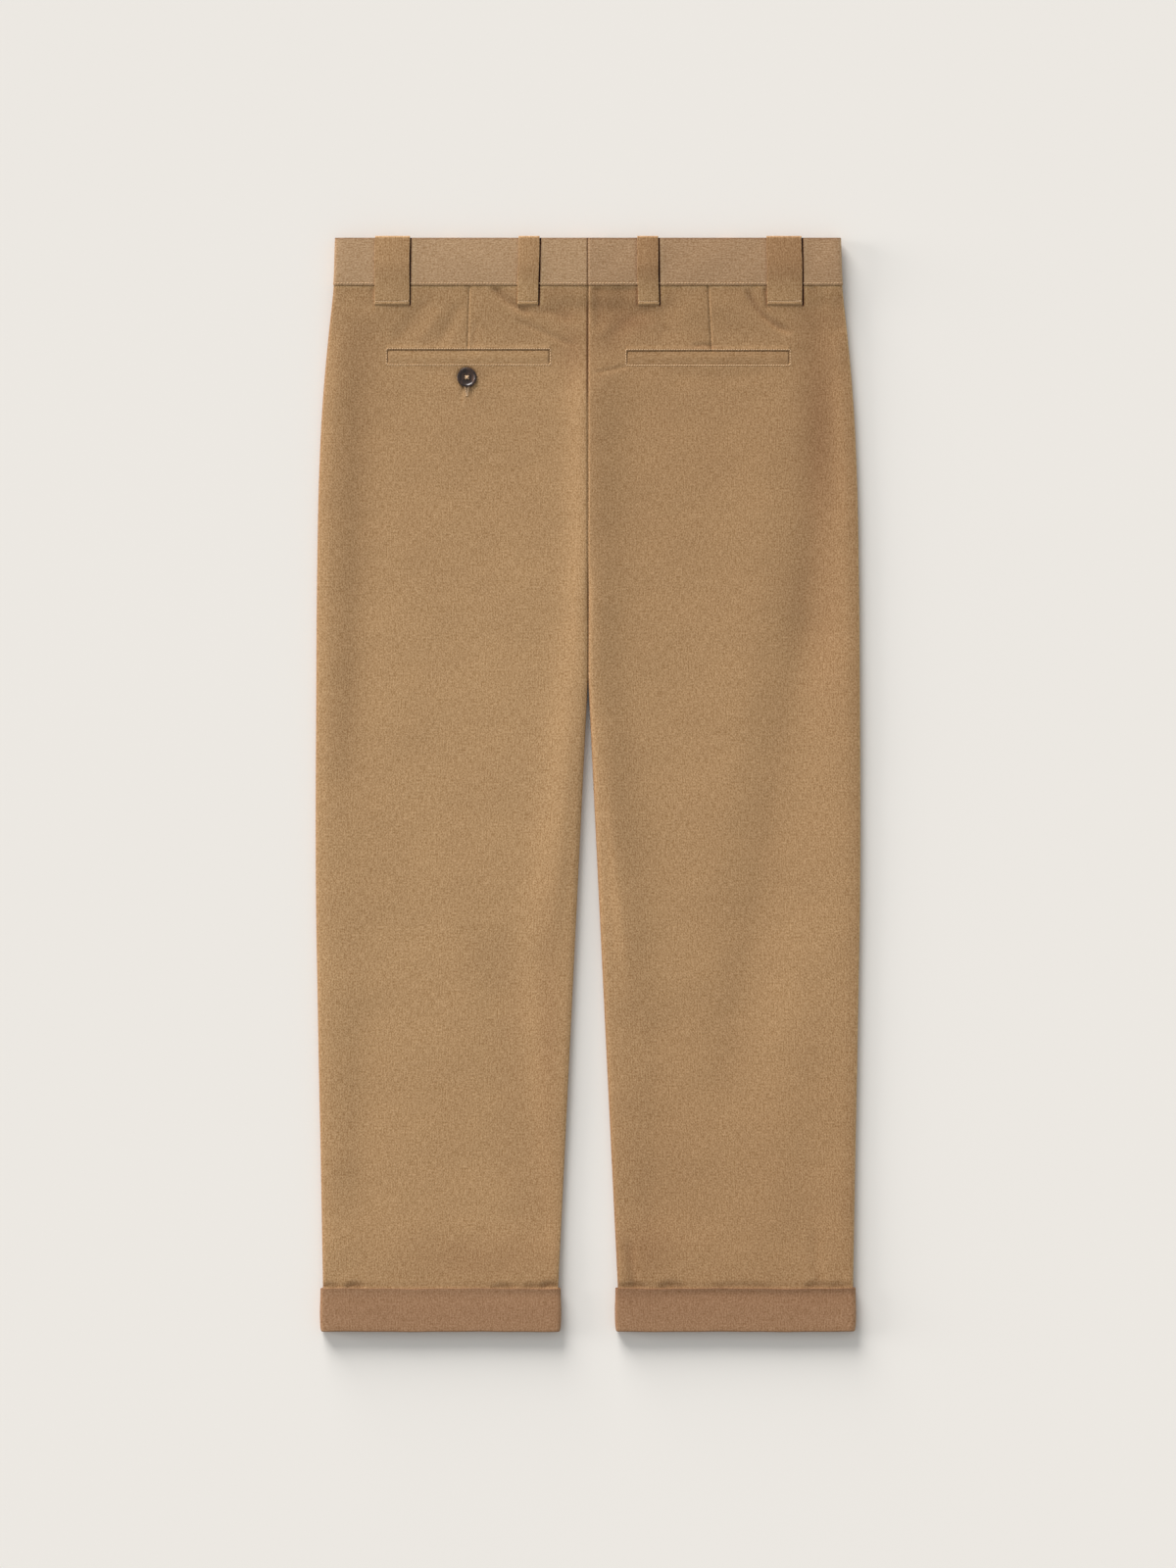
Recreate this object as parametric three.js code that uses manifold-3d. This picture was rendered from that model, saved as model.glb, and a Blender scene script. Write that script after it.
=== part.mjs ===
// Straight chino trousers with turned-up hems, laid flat on their front so that the back shows.
// +X is the wearer's right, +Y runs from the hems to the waist and +Z is up from the surface they lie on.
// Every panel is a wall of cloth: two fronts and two backs, joined at the side seams, the inseams and
// the seat seam, under a waistband in two halves with belt loops. Two welt pockets, one with a button.
import * as THREE from "three";
import { mergeVertices } from "three/addons/utils/BufferGeometryUtils.js";
import Module from "manifold-3d";

const wasm = await Module();
wasm.setup();

// Driving dimensions, in millimetres. "down" is always the distance below the waistband's top edge.
const OUTSEAM = 937.4; // waistband's top edge to the bottom fold of the turn-up
const BAND_DEPTH = 40.3;
const CUFF_DEPTH = 37.4;
const CROTCH_DOWN = 333.5; // where the seat seam meets the inseams
const LEGS_PART_DOWN = 375.5; // where daylight first shows between the legs
const HEM_GAP = 51.2; // between the two legs at the top of the turn-ups
const PANEL_WALL = 1.4;
const BAND_WALL = 2.2;
const CUFF_WALL = 1.2;
const LOOP_WALL = 1.2;
const WELT_WALL = 0.9;
const SEAM_GAP = 0.3; // clearance between pieces that are sewn together
const EDGE_ROUND = 8; // how far in from a side edge or inseam the cloth has finished rolling over
const BAND_TOP_HEIGHT = 10.4; // of the waistband's upper face above the surface
const BAND_UNDER_HEIGHT = 2.9; // of its lower face
const BAND_PROUD = 0.5; // the waistband is wider than the panels below it
const LOOP_RISE = 1.6; // belt loops above the waistband's top edge

const CUFF_TOP_DOWN = OUTSEAM - CUFF_DEPTH;
const FOLD_INSIDE_DOWN = OUTSEAM - CUFF_WALL - SEAM_GAP; // the inside of the turn-up's bottom fold
const LEG_END_DOWN = FOLD_INSIDE_DOWN - SEAM_GAP;
const PANEL_TOP_DOWN = BAND_DEPTH + SEAM_GAP;
const TOP_Y = (OUTSEAM - LOOP_RISE) / 2; // centres the whole length, loops included, on the origin

// The side outline: reach is from the centre line out to the side edge.
const OUTLINE = [
  { down: 0, reach: 216.4 },
  { down: 40, reach: 217.9 },
  { down: 81, reach: 222.2 },
  { down: 115, reach: 225.5 },
  { down: 149, reach: 228.1 },
  { down: 199, reach: 230.5 },
  { down: 283, reach: 232.3 },
  { down: 384, reach: 233.1 },
  { down: 586, reach: 233.1 },
  { down: 653, reach: 231.9 },
  { down: 720, reach: 230.7 },
  { down: 787, reach: 229.3 },
  { down: 854, reach: 228.1 },
  { down: CUFF_TOP_DOWN, reach: 227.3 },
  { down: OUTSEAM, reach: 227.3 },
];

// Heights above the surface: under is the fronts' lower face, top the backs' upper face.
const HEIGHTS = [
  { down: PANEL_TOP_DOWN, under: 3.4, top: 9.7 },
  { down: 60, under: 2.4, top: 8.8 },
  { down: 84, under: 0.9, top: 7.3 },
  { down: 112, under: 0, top: 6.4 },
  { down: 190, under: 0, top: 6.1 },
  { down: 400, under: 0, top: 6.1 },
  { down: 620, under: 0, top: 6.0 },
  { down: 830, under: 0, top: 6.5 },
  { down: 888, under: 1.1, top: 7.6 },
  { down: CUFF_TOP_DOWN - 1, under: 1.5, top: 7.9 },
  { down: OUTSEAM, under: 1.5, top: 7.9 },
];

// Cloth rolls up beside each folded edge: the crest lies in from the edge and falls away to both sides.
// The side seam's roll keeps only a share of its rise in the legs, and the inseam's dies away down them.
const SIDE_ROLL = { rise: 1.5, crest: 12, inwards: 24, outwards: 11, legShare: 0.55, from: 330, to: 560 };
const INSEAM_ROLL = { rise: 0.6, crest: 10, inwards: 14, outwards: 9, legShare: 0, from: 700, to: 860 };

// The largest soft folds of the backs. Each runs from its start past its bend to its end, as [x, down].
// It falls away over west to its left and over east to its right; a trough has a negative rise.
const FOLDS = [
  { name: "ridge on the seat seam", route: [[0, 60], [0, 240], [1, 372]], west: 15, east: 25, rise: 3.0 },
  { name: "fork ridge, left", route: [[-1, 318], [-14, 430], [-40, 640]], west: 18, east: 14, rise: 1.75 },
  { name: "fork ridge, right", route: [[1, 318], [14, 450], [44, 680]], west: 11, east: 20, rise: 2.2 },
  { name: "long trough, top", route: [[198, 20], [206, 220], [184, 420]], west: 18, east: 24, rise: -1.8 },
  { name: "long trough, foot", route: [[196, 240], [180, 430], [112, 780]], west: 20, east: 32, rise: -1.2 },
  { name: "swell beside it", route: [[150, 120], [160, 330], [92, 620]], west: 34, east: 17, rise: 0.5 },
  { name: "side trough", route: [[-196, 40], [-190, 260], [-206, 520]], west: 12, east: 20, rise: -0.7 },
  { name: "knee trough", route: [[-112, 500], [-92, 575], [-58, 690]], west: 18, east: 24, rise: -0.2 },
  { name: "calf trough", route: [[-74, 560], [-52, 740], [-34, 900]], west: 26, east: 16, rise: -0.9 },
  { name: "shin ridge", route: [[196, 560], [174, 740], [158, 900]], west: 28, east: 26, rise: 0.7 },
  { name: "right shin trough", route: [[62, 640], [62, 740], [56, 880]], west: 15, east: 26, rise: -0.7 },
  { name: "shin trough", route: [[-196, 640], [-190, 730], [-200, 860]], west: 14, east: 20, rise: -0.6 },
  { name: "hollow at the waist", route: [[-46, 58], [20, 63], [88, 62]], west: 12, east: 12, rise: -1.2 },
];

// Shallow folds of the fronts, which lift the cloth off the surface.
const FRONT_FOLDS = [
  { name: "fork lift, left", route: [[-6, 300], [-30, 350], [-80, 420]], west: 14, east: 14, rise: 0.9 },
  { name: "fork lift, right", route: [[6, 300], [34, 345], [92, 400]], west: 14, east: 14, rise: 0.9 },
  { name: "knee lift, left", route: [[-60, 560], [-110, 600], [-170, 610]], west: 15, east: 15, rise: 0.7 },
  { name: "knee lift, right", route: [[70, 540], [120, 590], [180, 620]], west: 15, east: 15, rise: 0.7 },
];
const FOLD_SIDE_BLEND = 2; // how far either side of a fold's line west turns into east
const FOLDS_FADE_AT_WAIST = { from: 42, to: 66 };
const FOLDS_FADE_AT_CUFF = { from: 846, to: 888 };
const FOLD_END_SHARE = 0.22; // of a fold's length, over which it dies away at each end

// Belt loops: across is the centre line's distance from the centre back, lean moves its lower end.
const LOOP_END_DOWN = 57.8;
const BACK_LOOPS = [
  { name: "belt_loop_back_left_wide", across: -167.5, width: 30, lean: -0.6, bow: 0.8 },
  { name: "belt_loop_back_left", across: -50.4, width: 18, lean: -1.3, bow: 1.0 },
  { name: "belt_loop_back_right", across: 51.0, width: 18, lean: 0.9, bow: 1.0 },
  { name: "belt_loop_back_right_wide", across: 168, width: 30, lean: 0.8, bow: 0.8 },
];
const FRONT_LOOPS = [
  { name: "belt_loop_front_left", across: -118, width: 18, rise: -0.4 },
  { name: "belt_loop_front_right", across: 118, width: 18, rise: -0.4 },
];

// Pocket welts on the backs.
const WELTS = [
  { name: "pocket_welt_left", side: -1, near: 33.2, far: 171.8, top: 95.8, bottom: 107.5 },
  { name: "pocket_welt_right", side: 1, near: 33.6, far: 172.4, top: 96.6, bottom: 107.9 },
];

// Buttons: four holes in a dished face inside a raised rim.
const POCKET_BUTTON = { across: -103.7, down: 119.3, diameter: 16.8, thickness: 2.6, clear: 0.35 };
const WAIST_BUTTON = { across: 1, down: 20, diameter: 17, thickness: 2.3 };
const BUTTON_HOLE = { radius: 0.95, spacing: 3.3 };
const BUTTON_SIDES = 24;
const HOLE_SIDES = 8;

// Colours, roughness and metalness of the finished pieces.
const TWILL = { color: 0xa9865f, roughness: 0.9, metalness: 0 };
const TWILL_TURNED = { color: 0x997557, roughness: 0.92, metalness: 0 };
const HORN = { color: 0x3c2d2a, roughness: 0.35, metalness: 0 };

const mix = THREE.MathUtils.lerp;
const smooth = THREE.MathUtils.smoothstep;

// The outline as a smooth curve through its table.
const outlineCurve = new THREE.CubicInterpolant(
  OUTLINE.map((row) => row.down),
  OUTLINE.map((row) => row.reach),
  1,
);
const reachAt = (down) => outlineCurve.evaluate(down)[0];

// Heights ease from row to row, level at each row.
function heightAt(column, down) {
  const last = HEIGHTS.findIndex((row) => row.down >= down);
  if (last <= 0) return HEIGHTS.at(last)[column];
  const before = HEIGHTS[last - 1];
  const after = HEIGHTS[last];
  return mix(before[column], after[column], smooth(down, before.down, after.down));
}

const seamHeight = (down) => (heightAt("under", down) + heightAt("top", down)) / 2;

// The inseam edge of a leg, or the middle of the seat above the fork.
function innerEdge(down) {
  const opening = HEM_GAP / 2 / (CUFF_TOP_DOWN - LEGS_PART_DOWN);
  return SEAM_GAP / 2 + opening * Math.max(0, Math.min(down, CUFF_TOP_DOWN) - LEGS_PART_DOWN);
}

// 0 where left and right are sewn edge to edge in the seat, 1 where each rolls round into its own leg.
const FORK_TURN = 70;
const legShare = (down) => smooth(down, CROTCH_DOWN - FORK_TURN, CROTCH_DOWN);

// Routes of the folds, as polylines with the share of the route at each point.
const ROUTE_STEPS = 14;
function routesOf(folds) {
  return folds.map((fold) => {
    const [start, bend, end] = fold.route.map(([x, down]) => new THREE.Vector2(x, down));
    return { ...fold, points: new THREE.QuadraticBezierCurve(start, bend, end).getPoints(ROUTE_STEPS) };
  });
}
const backRoutes = routesOf(FOLDS);
const frontRoutes = routesOf(FRONT_FOLDS);

// How much the folds raise or lower the cloth at a place.
function foldRise(routes, x, down) {
  let total = 0;
  for (const { points, west, east, rise } of routes) {
    let nearest = Infinity;
    let share = 0;
    let offset = 0;
    for (let k = 0; k < ROUTE_STEPS; k += 1) {
      const [a, b] = [points[k], points[k + 1]];
      const run = { x: b.x - a.x, y: b.y - a.y };
      const along = ((x - a.x) * run.x + (down - a.y) * run.y) / (run.x ** 2 + run.y ** 2);
      const held = THREE.MathUtils.clamp(along, 0, 1);
      const across = x - a.x - held * run.x;
      const away = Math.hypot(across, down - a.y - held * run.y);
      if (away < nearest) {
        nearest = away;
        share = (k + held) / ROUTE_STEPS;
        offset = across;
      }
    }
    const spread = mix(west, east, (1 + Math.tanh(offset / FOLD_SIDE_BLEND)) / 2);
    const ends = smooth(share, 0, FOLD_END_SHARE) * smooth(1 - share, 0, FOLD_END_SHARE);
    total += rise * ends * Math.exp(-((nearest / spread) ** 2));
  }
  const atWaist = smooth(down, FOLDS_FADE_AT_WAIST.from, FOLDS_FADE_AT_WAIST.to);
  const atCuff = 1 - smooth(down, FOLDS_FADE_AT_CUFF.from, FOLDS_FADE_AT_CUFF.to);
  return total * atWaist * atCuff;
}

// Height of a rolled edge at a distance in from it.
function rollRise({ rise, crest, inwards, outwards, legShare: kept, from, to }, fromEdge, down) {
  const past = fromEdge - crest;
  const bump = Math.exp(-((past / (past > 0 ? inwards : outwards)) ** 2));
  return rise * bump * mix(1, kept, smooth(down, from, to));
}

// Upper face of the backs and lower face of the fronts, away from their edges.
const ROLLS_BEGIN = { from: 42, to: 112 };
function backHeight(x, down) {
  const side = rollRise(SIDE_ROLL, reachAt(down) - Math.abs(x), down);
  const inseam = rollRise(INSEAM_ROLL, Math.abs(x) - innerEdge(down), down) * legShare(down);
  const atWaist = smooth(down, ROLLS_BEGIN.from, ROLLS_BEGIN.to);
  const atCuff = 1 - smooth(down, FOLDS_FADE_AT_CUFF.from, FOLDS_FADE_AT_CUFF.to);
  return heightAt("top", down) + (side + inseam) * atWaist * atCuff + foldRise(backRoutes, x, down);
}
function frontHeight(x, down) {
  return Math.max(0, heightAt("under", down) + foldRise(frontRoutes, x, down));
}
const BACK = { up: 1, height: backHeight };
const FRONT = { up: -1, height: frontHeight };

// The columns of a panel, from its side seam over the flat to its inseam or the seat seam.
const quarterTurn = (steps) => Array.from({ length: steps + 1 }, (_, k) => (k / steps) * (Math.PI / 2));
function columnsOf(rollSteps, flatSteps, crowding) {
  const angles = quarterTurn(rollSteps);
  const outer = angles.map((angle) => ({ zone: "outer", angle }));
  const inner = angles.toReversed().map((angle) => ({ zone: "inner", angle }));
  const flat = [];
  for (let k = 1; k < flatSteps; k += 1) {
    flat.push({ zone: "flat", share: 1 - (1 - k / flatSteps) ** crowding });
  }
  return [...outer, ...flat, ...inner];
}

// A point of one panel's skin, moved outwards by "out"; widen spreads both edges of the leg.
function skinPoint(side, face, down, column, out, { widen = 0, seamGap = SEAM_GAP } = {}) {
  const reach = reachAt(down) + widen;
  const inner = innerEdge(down) - widen;
  const seam = seamHeight(down) + (face.up * seamGap) / 2;
  const turned = (x) => {
    const rise = Math.abs(face.height(side * x, down) - seam) + out;
    return seam + face.up * rise * Math.sin(column.angle);
  };
  const level = (x) => face.height(side * x, down) + face.up * out;
  const cos = Math.cos(column.angle);
  let x;
  let z;
  if (column.zone === "outer") {
    x = reach - EDGE_ROUND + (EDGE_ROUND + out) * cos;
    z = turned(reach - EDGE_ROUND * (1 - cos));
  } else if (column.zone === "flat") {
    x = mix(reach - EDGE_ROUND, inner + EDGE_ROUND, column.share);
    z = level(x);
  } else {
    const share = legShare(down);
    const levelX = inner + (EDGE_ROUND * column.angle) / (Math.PI / 2);
    const turnedX = inner + EDGE_ROUND - (EDGE_ROUND + out) * cos;
    x = mix(levelX, turnedX, share);
    z = mix(level(levelX), turned(inner + EDGE_ROUND * (1 - cos)), share);
  }
  return new THREE.Vector3(side * x, TOP_Y - down, z);
}

// Builds a closed body from rows of points, turned so that its faces point outwards.
function bodyOf(points, triangles) {
  let volume = 0;
  for (const [a, b, c] of triangles) {
    volume += points[a].dot(new THREE.Vector3().crossVectors(points[b], points[c]));
  }
  const index = triangles.flatMap(([a, b, c]) => (volume > 0 ? [a, b, c] : [a, c, b]));
  const geometry = new THREE.BufferGeometry().setFromPoints(points);
  geometry.setIndex(index);
  return geometry;
}

const quad = (a, b, c, d) => [
  [a, b, c],
  [a, c, d],
];

// A wall between two matching grids of points, closed along its four sides.
function wallBetween(outside, inside) {
  const rows = outside.length;
  const columns = outside[0].length;
  const at = (layer, j, i) => (layer * rows + j) * columns + i;
  const triangles = [];
  for (let j = 0; j + 1 < rows; j += 1) {
    for (let i = 0; i + 1 < columns; i += 1) {
      triangles.push(...quad(at(0, j, i), at(0, j, i + 1), at(0, j + 1, i + 1), at(0, j + 1, i)));
      triangles.push(...quad(at(1, j, i), at(1, j + 1, i), at(1, j + 1, i + 1), at(1, j, i + 1)));
    }
    for (const i of [0, columns - 1]) {
      const side = quad(at(0, j, i), at(0, j + 1, i), at(1, j + 1, i), at(1, j, i));
      triangles.push(...(i === 0 ? side : side.map((t) => t.toReversed())));
    }
  }
  for (const j of [0, rows - 1]) {
    for (let i = 0; i + 1 < columns; i += 1) {
      const side = quad(at(0, j, i), at(1, j, i), at(1, j, i + 1), at(0, j, i + 1));
      triangles.push(...(j === 0 ? side : side.map((t) => t.toReversed())));
    }
  }
  return bodyOf([...outside.flat(), ...inside.flat()], triangles);
}

// A ring whose sections are closed loops, such as a turn-up.
function ringThrough(loops) {
  const around = loops[0].length;
  const at = (j, i) => (j % loops.length) * around + (i % around);
  const triangles = [];
  for (let j = 0; j < loops.length; j += 1) {
    for (let i = 0; i < around; i += 1) {
      triangles.push(...quad(at(j, i), at(j, i + 1), at(j + 1, i + 1), at(j + 1, i)));
    }
  }
  return bodyOf(loops.flat(), triangles);
}

// Stations down a panel, closer where the cloth changes height quickly.
function stations(...stretches) {
  const downs = [stretches[0].from];
  for (const { from, to, step } of stretches) {
    const count = Math.max(1, Math.round((to - from) / step));
    for (let k = 1; k <= count; k += 1) downs.push(mix(from, to, k / count));
  }
  return downs;
}
const BACK_STATIONS = stations(
  { from: PANEL_TOP_DOWN, to: 112, step: 10 },
  { from: 112, to: 400, step: 24 },
  { from: 400, to: 830, step: 36 },
  { from: 830, to: CUFF_TOP_DOWN - 1, step: 14 },
  { from: CUFF_TOP_DOWN - 1, to: LEG_END_DOWN, step: 36 },
);
const FRONT_STATIONS = stations(
  { from: PANEL_TOP_DOWN, to: 112, step: 14 },
  { from: 112, to: 260, step: 50 },
  { from: 260, to: 440, step: 26 },
  { from: 440, to: 830, step: 60 },
  { from: 830, to: CUFF_TOP_DOWN - 1, step: 14 },
  { from: CUFF_TOP_DOWN - 1, to: LEG_END_DOWN, step: 36 },
);
const BACK_COLUMNS = columnsOf(3, 16, 1.45);
const FRONT_COLUMNS = columnsOf(3, 7, 1);
const CUFF_COLUMNS = columnsOf(3, 2, 1);

const gridOf = (side, face, downs, columns, out) =>
  downs.map((down) => columns.map((column) => skinPoint(side, face, down, column, out)));

const backGrid = {
  [-1]: gridOf(-1, BACK, BACK_STATIONS, BACK_COLUMNS, 0),
  [1]: gridOf(1, BACK, BACK_STATIONS, BACK_COLUMNS, 0),
};

const panel = (side, face, downs, columns) =>
  wallBetween(gridOf(side, face, downs, columns, 0), gridOf(side, face, downs, columns, -PANEL_WALL));

// The height of a back panel's own faces at a place, from its grid.
function heightOnBack(side, x, down) {
  const y = TOP_Y - down;
  const rows = backGrid[side];
  const after = rows.findIndex((row) => row[0].y <= y);
  const across = (row) => {
    const k = row.findIndex((point) => Math.abs(point.x) <= Math.abs(x));
    const [a, b] = [row[k - 1], row[k]];
    return mix(a.z, b.z, (x - a.x) / (b.x - a.x));
  };
  const [above, below] = [rows[after - 1], rows[after]];
  return mix(across(above), across(below), (y - above[0].y) / (below[0].y - above[0].y));
}

// One half of the waistband: from the centre back, round the side edge and back to the centre front,
// where the wearer's left half laps over the right half, whose end steps up behind it.
const BAND_FLAT_STEPS = 6;
const BAND_ROLL_STEPS = 4;
const BAND_LAP = { leftPast: 18, rightPast: 16, stepsFrom: 34, stepsTo: 19, rows: 6 };
const BAND_ROWS = [
  { down: 0, thin: 0.8 },
  { down: 1, thin: 0 },
  { down: BAND_DEPTH - 0.6, thin: 0 },
  { down: BAND_DEPTH, thin: 0.3 },
];
function waistband(side) {
  const middle = (BAND_TOP_HEIGHT + BAND_UNDER_HEIGHT) / 2;
  const half = (BAND_TOP_HEIGHT - BAND_UNDER_HEIGHT) / 2;
  const { leftPast, rightPast, stepsFrom, stepsTo, rows } = BAND_LAP;
  const step = side > 0 ? BAND_WALL + SEAM_GAP : 0;
  const row = (down, out) => {
    const reach = reachAt(down) + BAND_PROUD;
    const points = [];
    const add = (x, z) => points.push(new THREE.Vector3(side * x, TOP_Y - down, z));
    for (let k = 0; k < BAND_FLAT_STEPS; k += 1) {
      add(mix(SEAM_GAP / 2, reach - EDGE_ROUND, k / BAND_FLAT_STEPS), middle + half + out);
    }
    for (let k = BAND_ROLL_STEPS; k >= -BAND_ROLL_STEPS; k -= 1) {
      const angle = (k / BAND_ROLL_STEPS) * (Math.PI / 2);
      const x = reach - EDGE_ROUND + (EDGE_ROUND + out) * Math.cos(angle);
      add(x, middle + (half + out) * Math.sin(angle));
    }
    for (let k = BAND_FLAT_STEPS - 1; k >= 1; k -= 1) {
      add(mix(stepsFrom, reach - EDGE_ROUND, k / BAND_FLAT_STEPS), middle - half - out);
    }
    for (let k = 0; k < rows; k += 1) {
      const x = mix(stepsFrom, stepsTo, k / (rows - 1));
      add(x, middle - half - out + step * smooth(-x, -stepsFrom, -stepsTo));
    }
    add(-(side > 0 ? rightPast : leftPast), middle - half - out + step);
    return points;
  };
  return wallBetween(
    BAND_ROWS.map(({ down, thin }) => row(down, -thin)),
    BAND_ROWS.map(({ down }) => row(down, -BAND_WALL)),
  );
}

// A turn-up: the cloth goes down inside the leg, folds, and comes up again outside it.
// widen makes the outer leaf belly out sideways and rounds its bottom corners.
const CUFF_OUT = { near: SEAM_GAP, far: SEAM_GAP + CUFF_WALL };
const CUFF_IN = { near: -PANEL_WALL - SEAM_GAP, far: -PANEL_WALL - SEAM_GAP - CUFF_WALL };
const CUFF_PROFILE = [
  { down: CUFF_TOP_DOWN, out: CUFF_OUT.near, widen: 0 },
  { down: CUFF_TOP_DOWN, out: CUFF_OUT.far, widen: 0 },
  { down: CUFF_TOP_DOWN + 9, out: CUFF_OUT.far, widen: 1.0 },
  { down: OUTSEAM - 12, out: CUFF_OUT.far, widen: 0.8 },
  { down: OUTSEAM - 3.4, out: CUFF_OUT.far, widen: 0 },
  { down: OUTSEAM - 0.9, out: CUFF_OUT.near + 0.6, widen: -1.0 },
  { down: OUTSEAM, out: -PANEL_WALL / 2, widen: -2.2 },
  { down: OUTSEAM - 0.9, out: CUFF_IN.near - 0.6, widen: -1.0 },
  { down: OUTSEAM - 3.4, out: CUFF_IN.far, widen: 0 },
  { down: CUFF_TOP_DOWN + 6, out: CUFF_IN.far, widen: 0 },
  { down: CUFF_TOP_DOWN + 6, out: CUFF_IN.near, widen: 0 },
  { down: FOLD_INSIDE_DOWN, out: CUFF_IN.near, widen: 0 },
  { down: FOLD_INSIDE_DOWN, out: CUFF_OUT.near, widen: 0 },
  { down: OUTSEAM - 12, out: CUFF_OUT.near, widen: 0.8 },
  { down: CUFF_TOP_DOWN + 9, out: CUFF_OUT.near, widen: 1.0 },
];
function cuff(side) {
  return ringThrough(
    CUFF_PROFILE.map(({ down, out, widen }) => {
      const onFace = (face) =>
        CUFF_COLUMNS.map((column) => skinPoint(side, face, down, column, out, { widen, seamGap: 0 }));
      return [...onFace(BACK), ...onFace(FRONT).toReversed().slice(1, -1)];
    }),
  );
}

// A belt loop: a stitched strip, sewn down at both ends and bowed away from the waistband between them.
// near(share) is the height of the face towards the trousers, and up says which way the strip lies from it.
const LOOP_STEPS = { onBand: 8, onPanel: 4 };
const LOOP_LEAVES_BAND = BAND_DEPTH + 0.5;
const LOOP_EDGE = 0.7;
const LOOP_NOSE = 1.2;
function beltLoop({ across, width, lean = 0, rise = LOOP_RISE }, near, up) {
  const columns = [
    { x: -width / 2, low: LOOP_EDGE / 2 },
    { x: -width / 2 + LOOP_EDGE, low: 0 },
    { x: width / 2 - LOOP_EDGE, low: 0 },
    { x: width / 2, low: LOOP_EDGE / 2 },
  ];
  const downs = [-rise];
  for (let k = 0; k <= LOOP_STEPS.onBand; k += 1) {
    downs.push(mix(LOOP_NOSE - rise, LOOP_LEAVES_BAND, k / LOOP_STEPS.onBand));
  }
  for (let k = 1; k <= LOOP_STEPS.onPanel; k += 1) {
    downs.push(mix(LOOP_LEAVES_BAND, LOOP_END_DOWN, k / LOOP_STEPS.onPanel));
  }
  const grid = (far) =>
    downs.map((down, j) => {
      const share = (down + rise) / (LOOP_END_DOWN + rise);
      const nose = j === 0 ? LOOP_WALL * 0.3 : 0;
      return columns.map(({ x, low }) => {
        const height = far ? LOOP_WALL - nose - low : nose;
        return new THREE.Vector3(across + x + lean * share, TOP_Y - down, near(down, share) + up * height);
      });
    });
  return wallBetween(grid(true), grid(false));
}

function backLoop(loop) {
  const side = Math.sign(loop.across);
  const centre = loop.across + loop.lean;
  const panelTop = (down) =>
    Math.max(...[-0.5, 0, 0.5].map((k) => heightOnBack(side, centre + k * loop.width, down)));
  const near = (down, share) => {
    const straight = mix(BAND_TOP_HEIGHT, panelTop(LOOP_END_DOWN), share);
    const bowed = straight + loop.bow * Math.sin(Math.PI * share) ** 0.8;
    return SEAM_GAP + Math.max(bowed, down > LOOP_LEAVES_BAND ? panelTop(down) : BAND_TOP_HEIGHT);
  };
  return beltLoop(loop, near, 1);
}

// The trousers' weight flattens the front loops: their lower face touches the surface.
function frontLoop(loop) {
  const ease = 0.3;
  const near = (down, share) => {
    const top = mix(BAND_UNDER_HEIGHT - SEAM_GAP, LOOP_WALL, smooth(share, 0, ease));
    const foot = heightAt("under", LOOP_END_DOWN) - SEAM_GAP;
    return mix(top, foot, smooth(share, 1 - ease / 2, 1));
  };
  return beltLoop(loop, near, -1);
}

// A welt lies on its back panel, made from that panel's own faces and moved out.
const WELT_STEPS = 14;
function welt({ side, near, far, top, bottom }) {
  const layer = (out) =>
    [top, mix(top, bottom, 0.5), bottom].map((down) => {
      const row = [];
      for (let k = 0; k <= WELT_STEPS; k += 1) {
        const x = side * mix(near, far, k / WELT_STEPS);
        row.push(new THREE.Vector3(x, TOP_Y - down, heightOnBack(side, x, down) + out));
      }
      return row;
    });
  return wallBetween(layer(SEAM_GAP + WELT_WALL), layer(SEAM_GAP));
}

// Turns a closed geometry into a solid that can be cut.
function solidOf(geometry) {
  geometry.deleteAttribute("normal");
  geometry.deleteAttribute("uv");
  const merged = mergeVertices(geometry, 1e-4);
  const vertProperties = merged.attributes.position.array;
  return new wasm.Manifold(new wasm.Mesh({ numProp: 3, vertProperties, triVerts: merged.index.array }));
}

function geometryOf(solid) {
  const mesh = solid.getMesh();
  const geometry = new THREE.BufferGeometry();
  geometry.setAttribute("position", new THREE.BufferAttribute(mesh.vertProperties, 3));
  geometry.setIndex(new THREE.BufferAttribute(mesh.triVerts, 1));
  return geometry;
}

// A button lying in XY with its back at height 0: raised rim, dished middle, four thread holes.
function button({ diameter, thickness }) {
  const radius = diameter / 2;
  const profile = [
    [0, 0],
    [radius * 0.78, 0],
    [radius * 0.95, thickness * 0.22],
    [radius, thickness * 0.5],
    [radius * 0.96, thickness * 0.82],
    [radius * 0.88, thickness],
    [radius * 0.76, thickness * 0.97],
    [radius * 0.64, thickness * 0.7],
    [0, thickness * 0.62],
  ].map(([r, z]) => new THREE.Vector2(r, z));
  let body = solidOf(new THREE.LatheGeometry(profile, BUTTON_SIDES).rotateX(Math.PI / 2));
  for (const [sx, sy] of [[-1, -1], [-1, 1], [1, -1], [1, 1]]) {
    const hole = new THREE.CylinderGeometry(BUTTON_HOLE.radius, BUTTON_HOLE.radius, thickness * 2, HOLE_SIDES)
      .rotateX(Math.PI / 2)
      .translate((sx * BUTTON_HOLE.spacing) / 2, (sy * BUTTON_HOLE.spacing) / 2, thickness / 2);
    body = body.subtract(solidOf(hole));
  }
  return geometryOf(body);
}

const trousers = new THREE.Group();
function add(name, geometry, finish) {
  const mesh = new THREE.Mesh(geometry, new THREE.MeshStandardMaterial(finish));
  mesh.name = name;
  trousers.add(mesh);
  return mesh;
}

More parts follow.
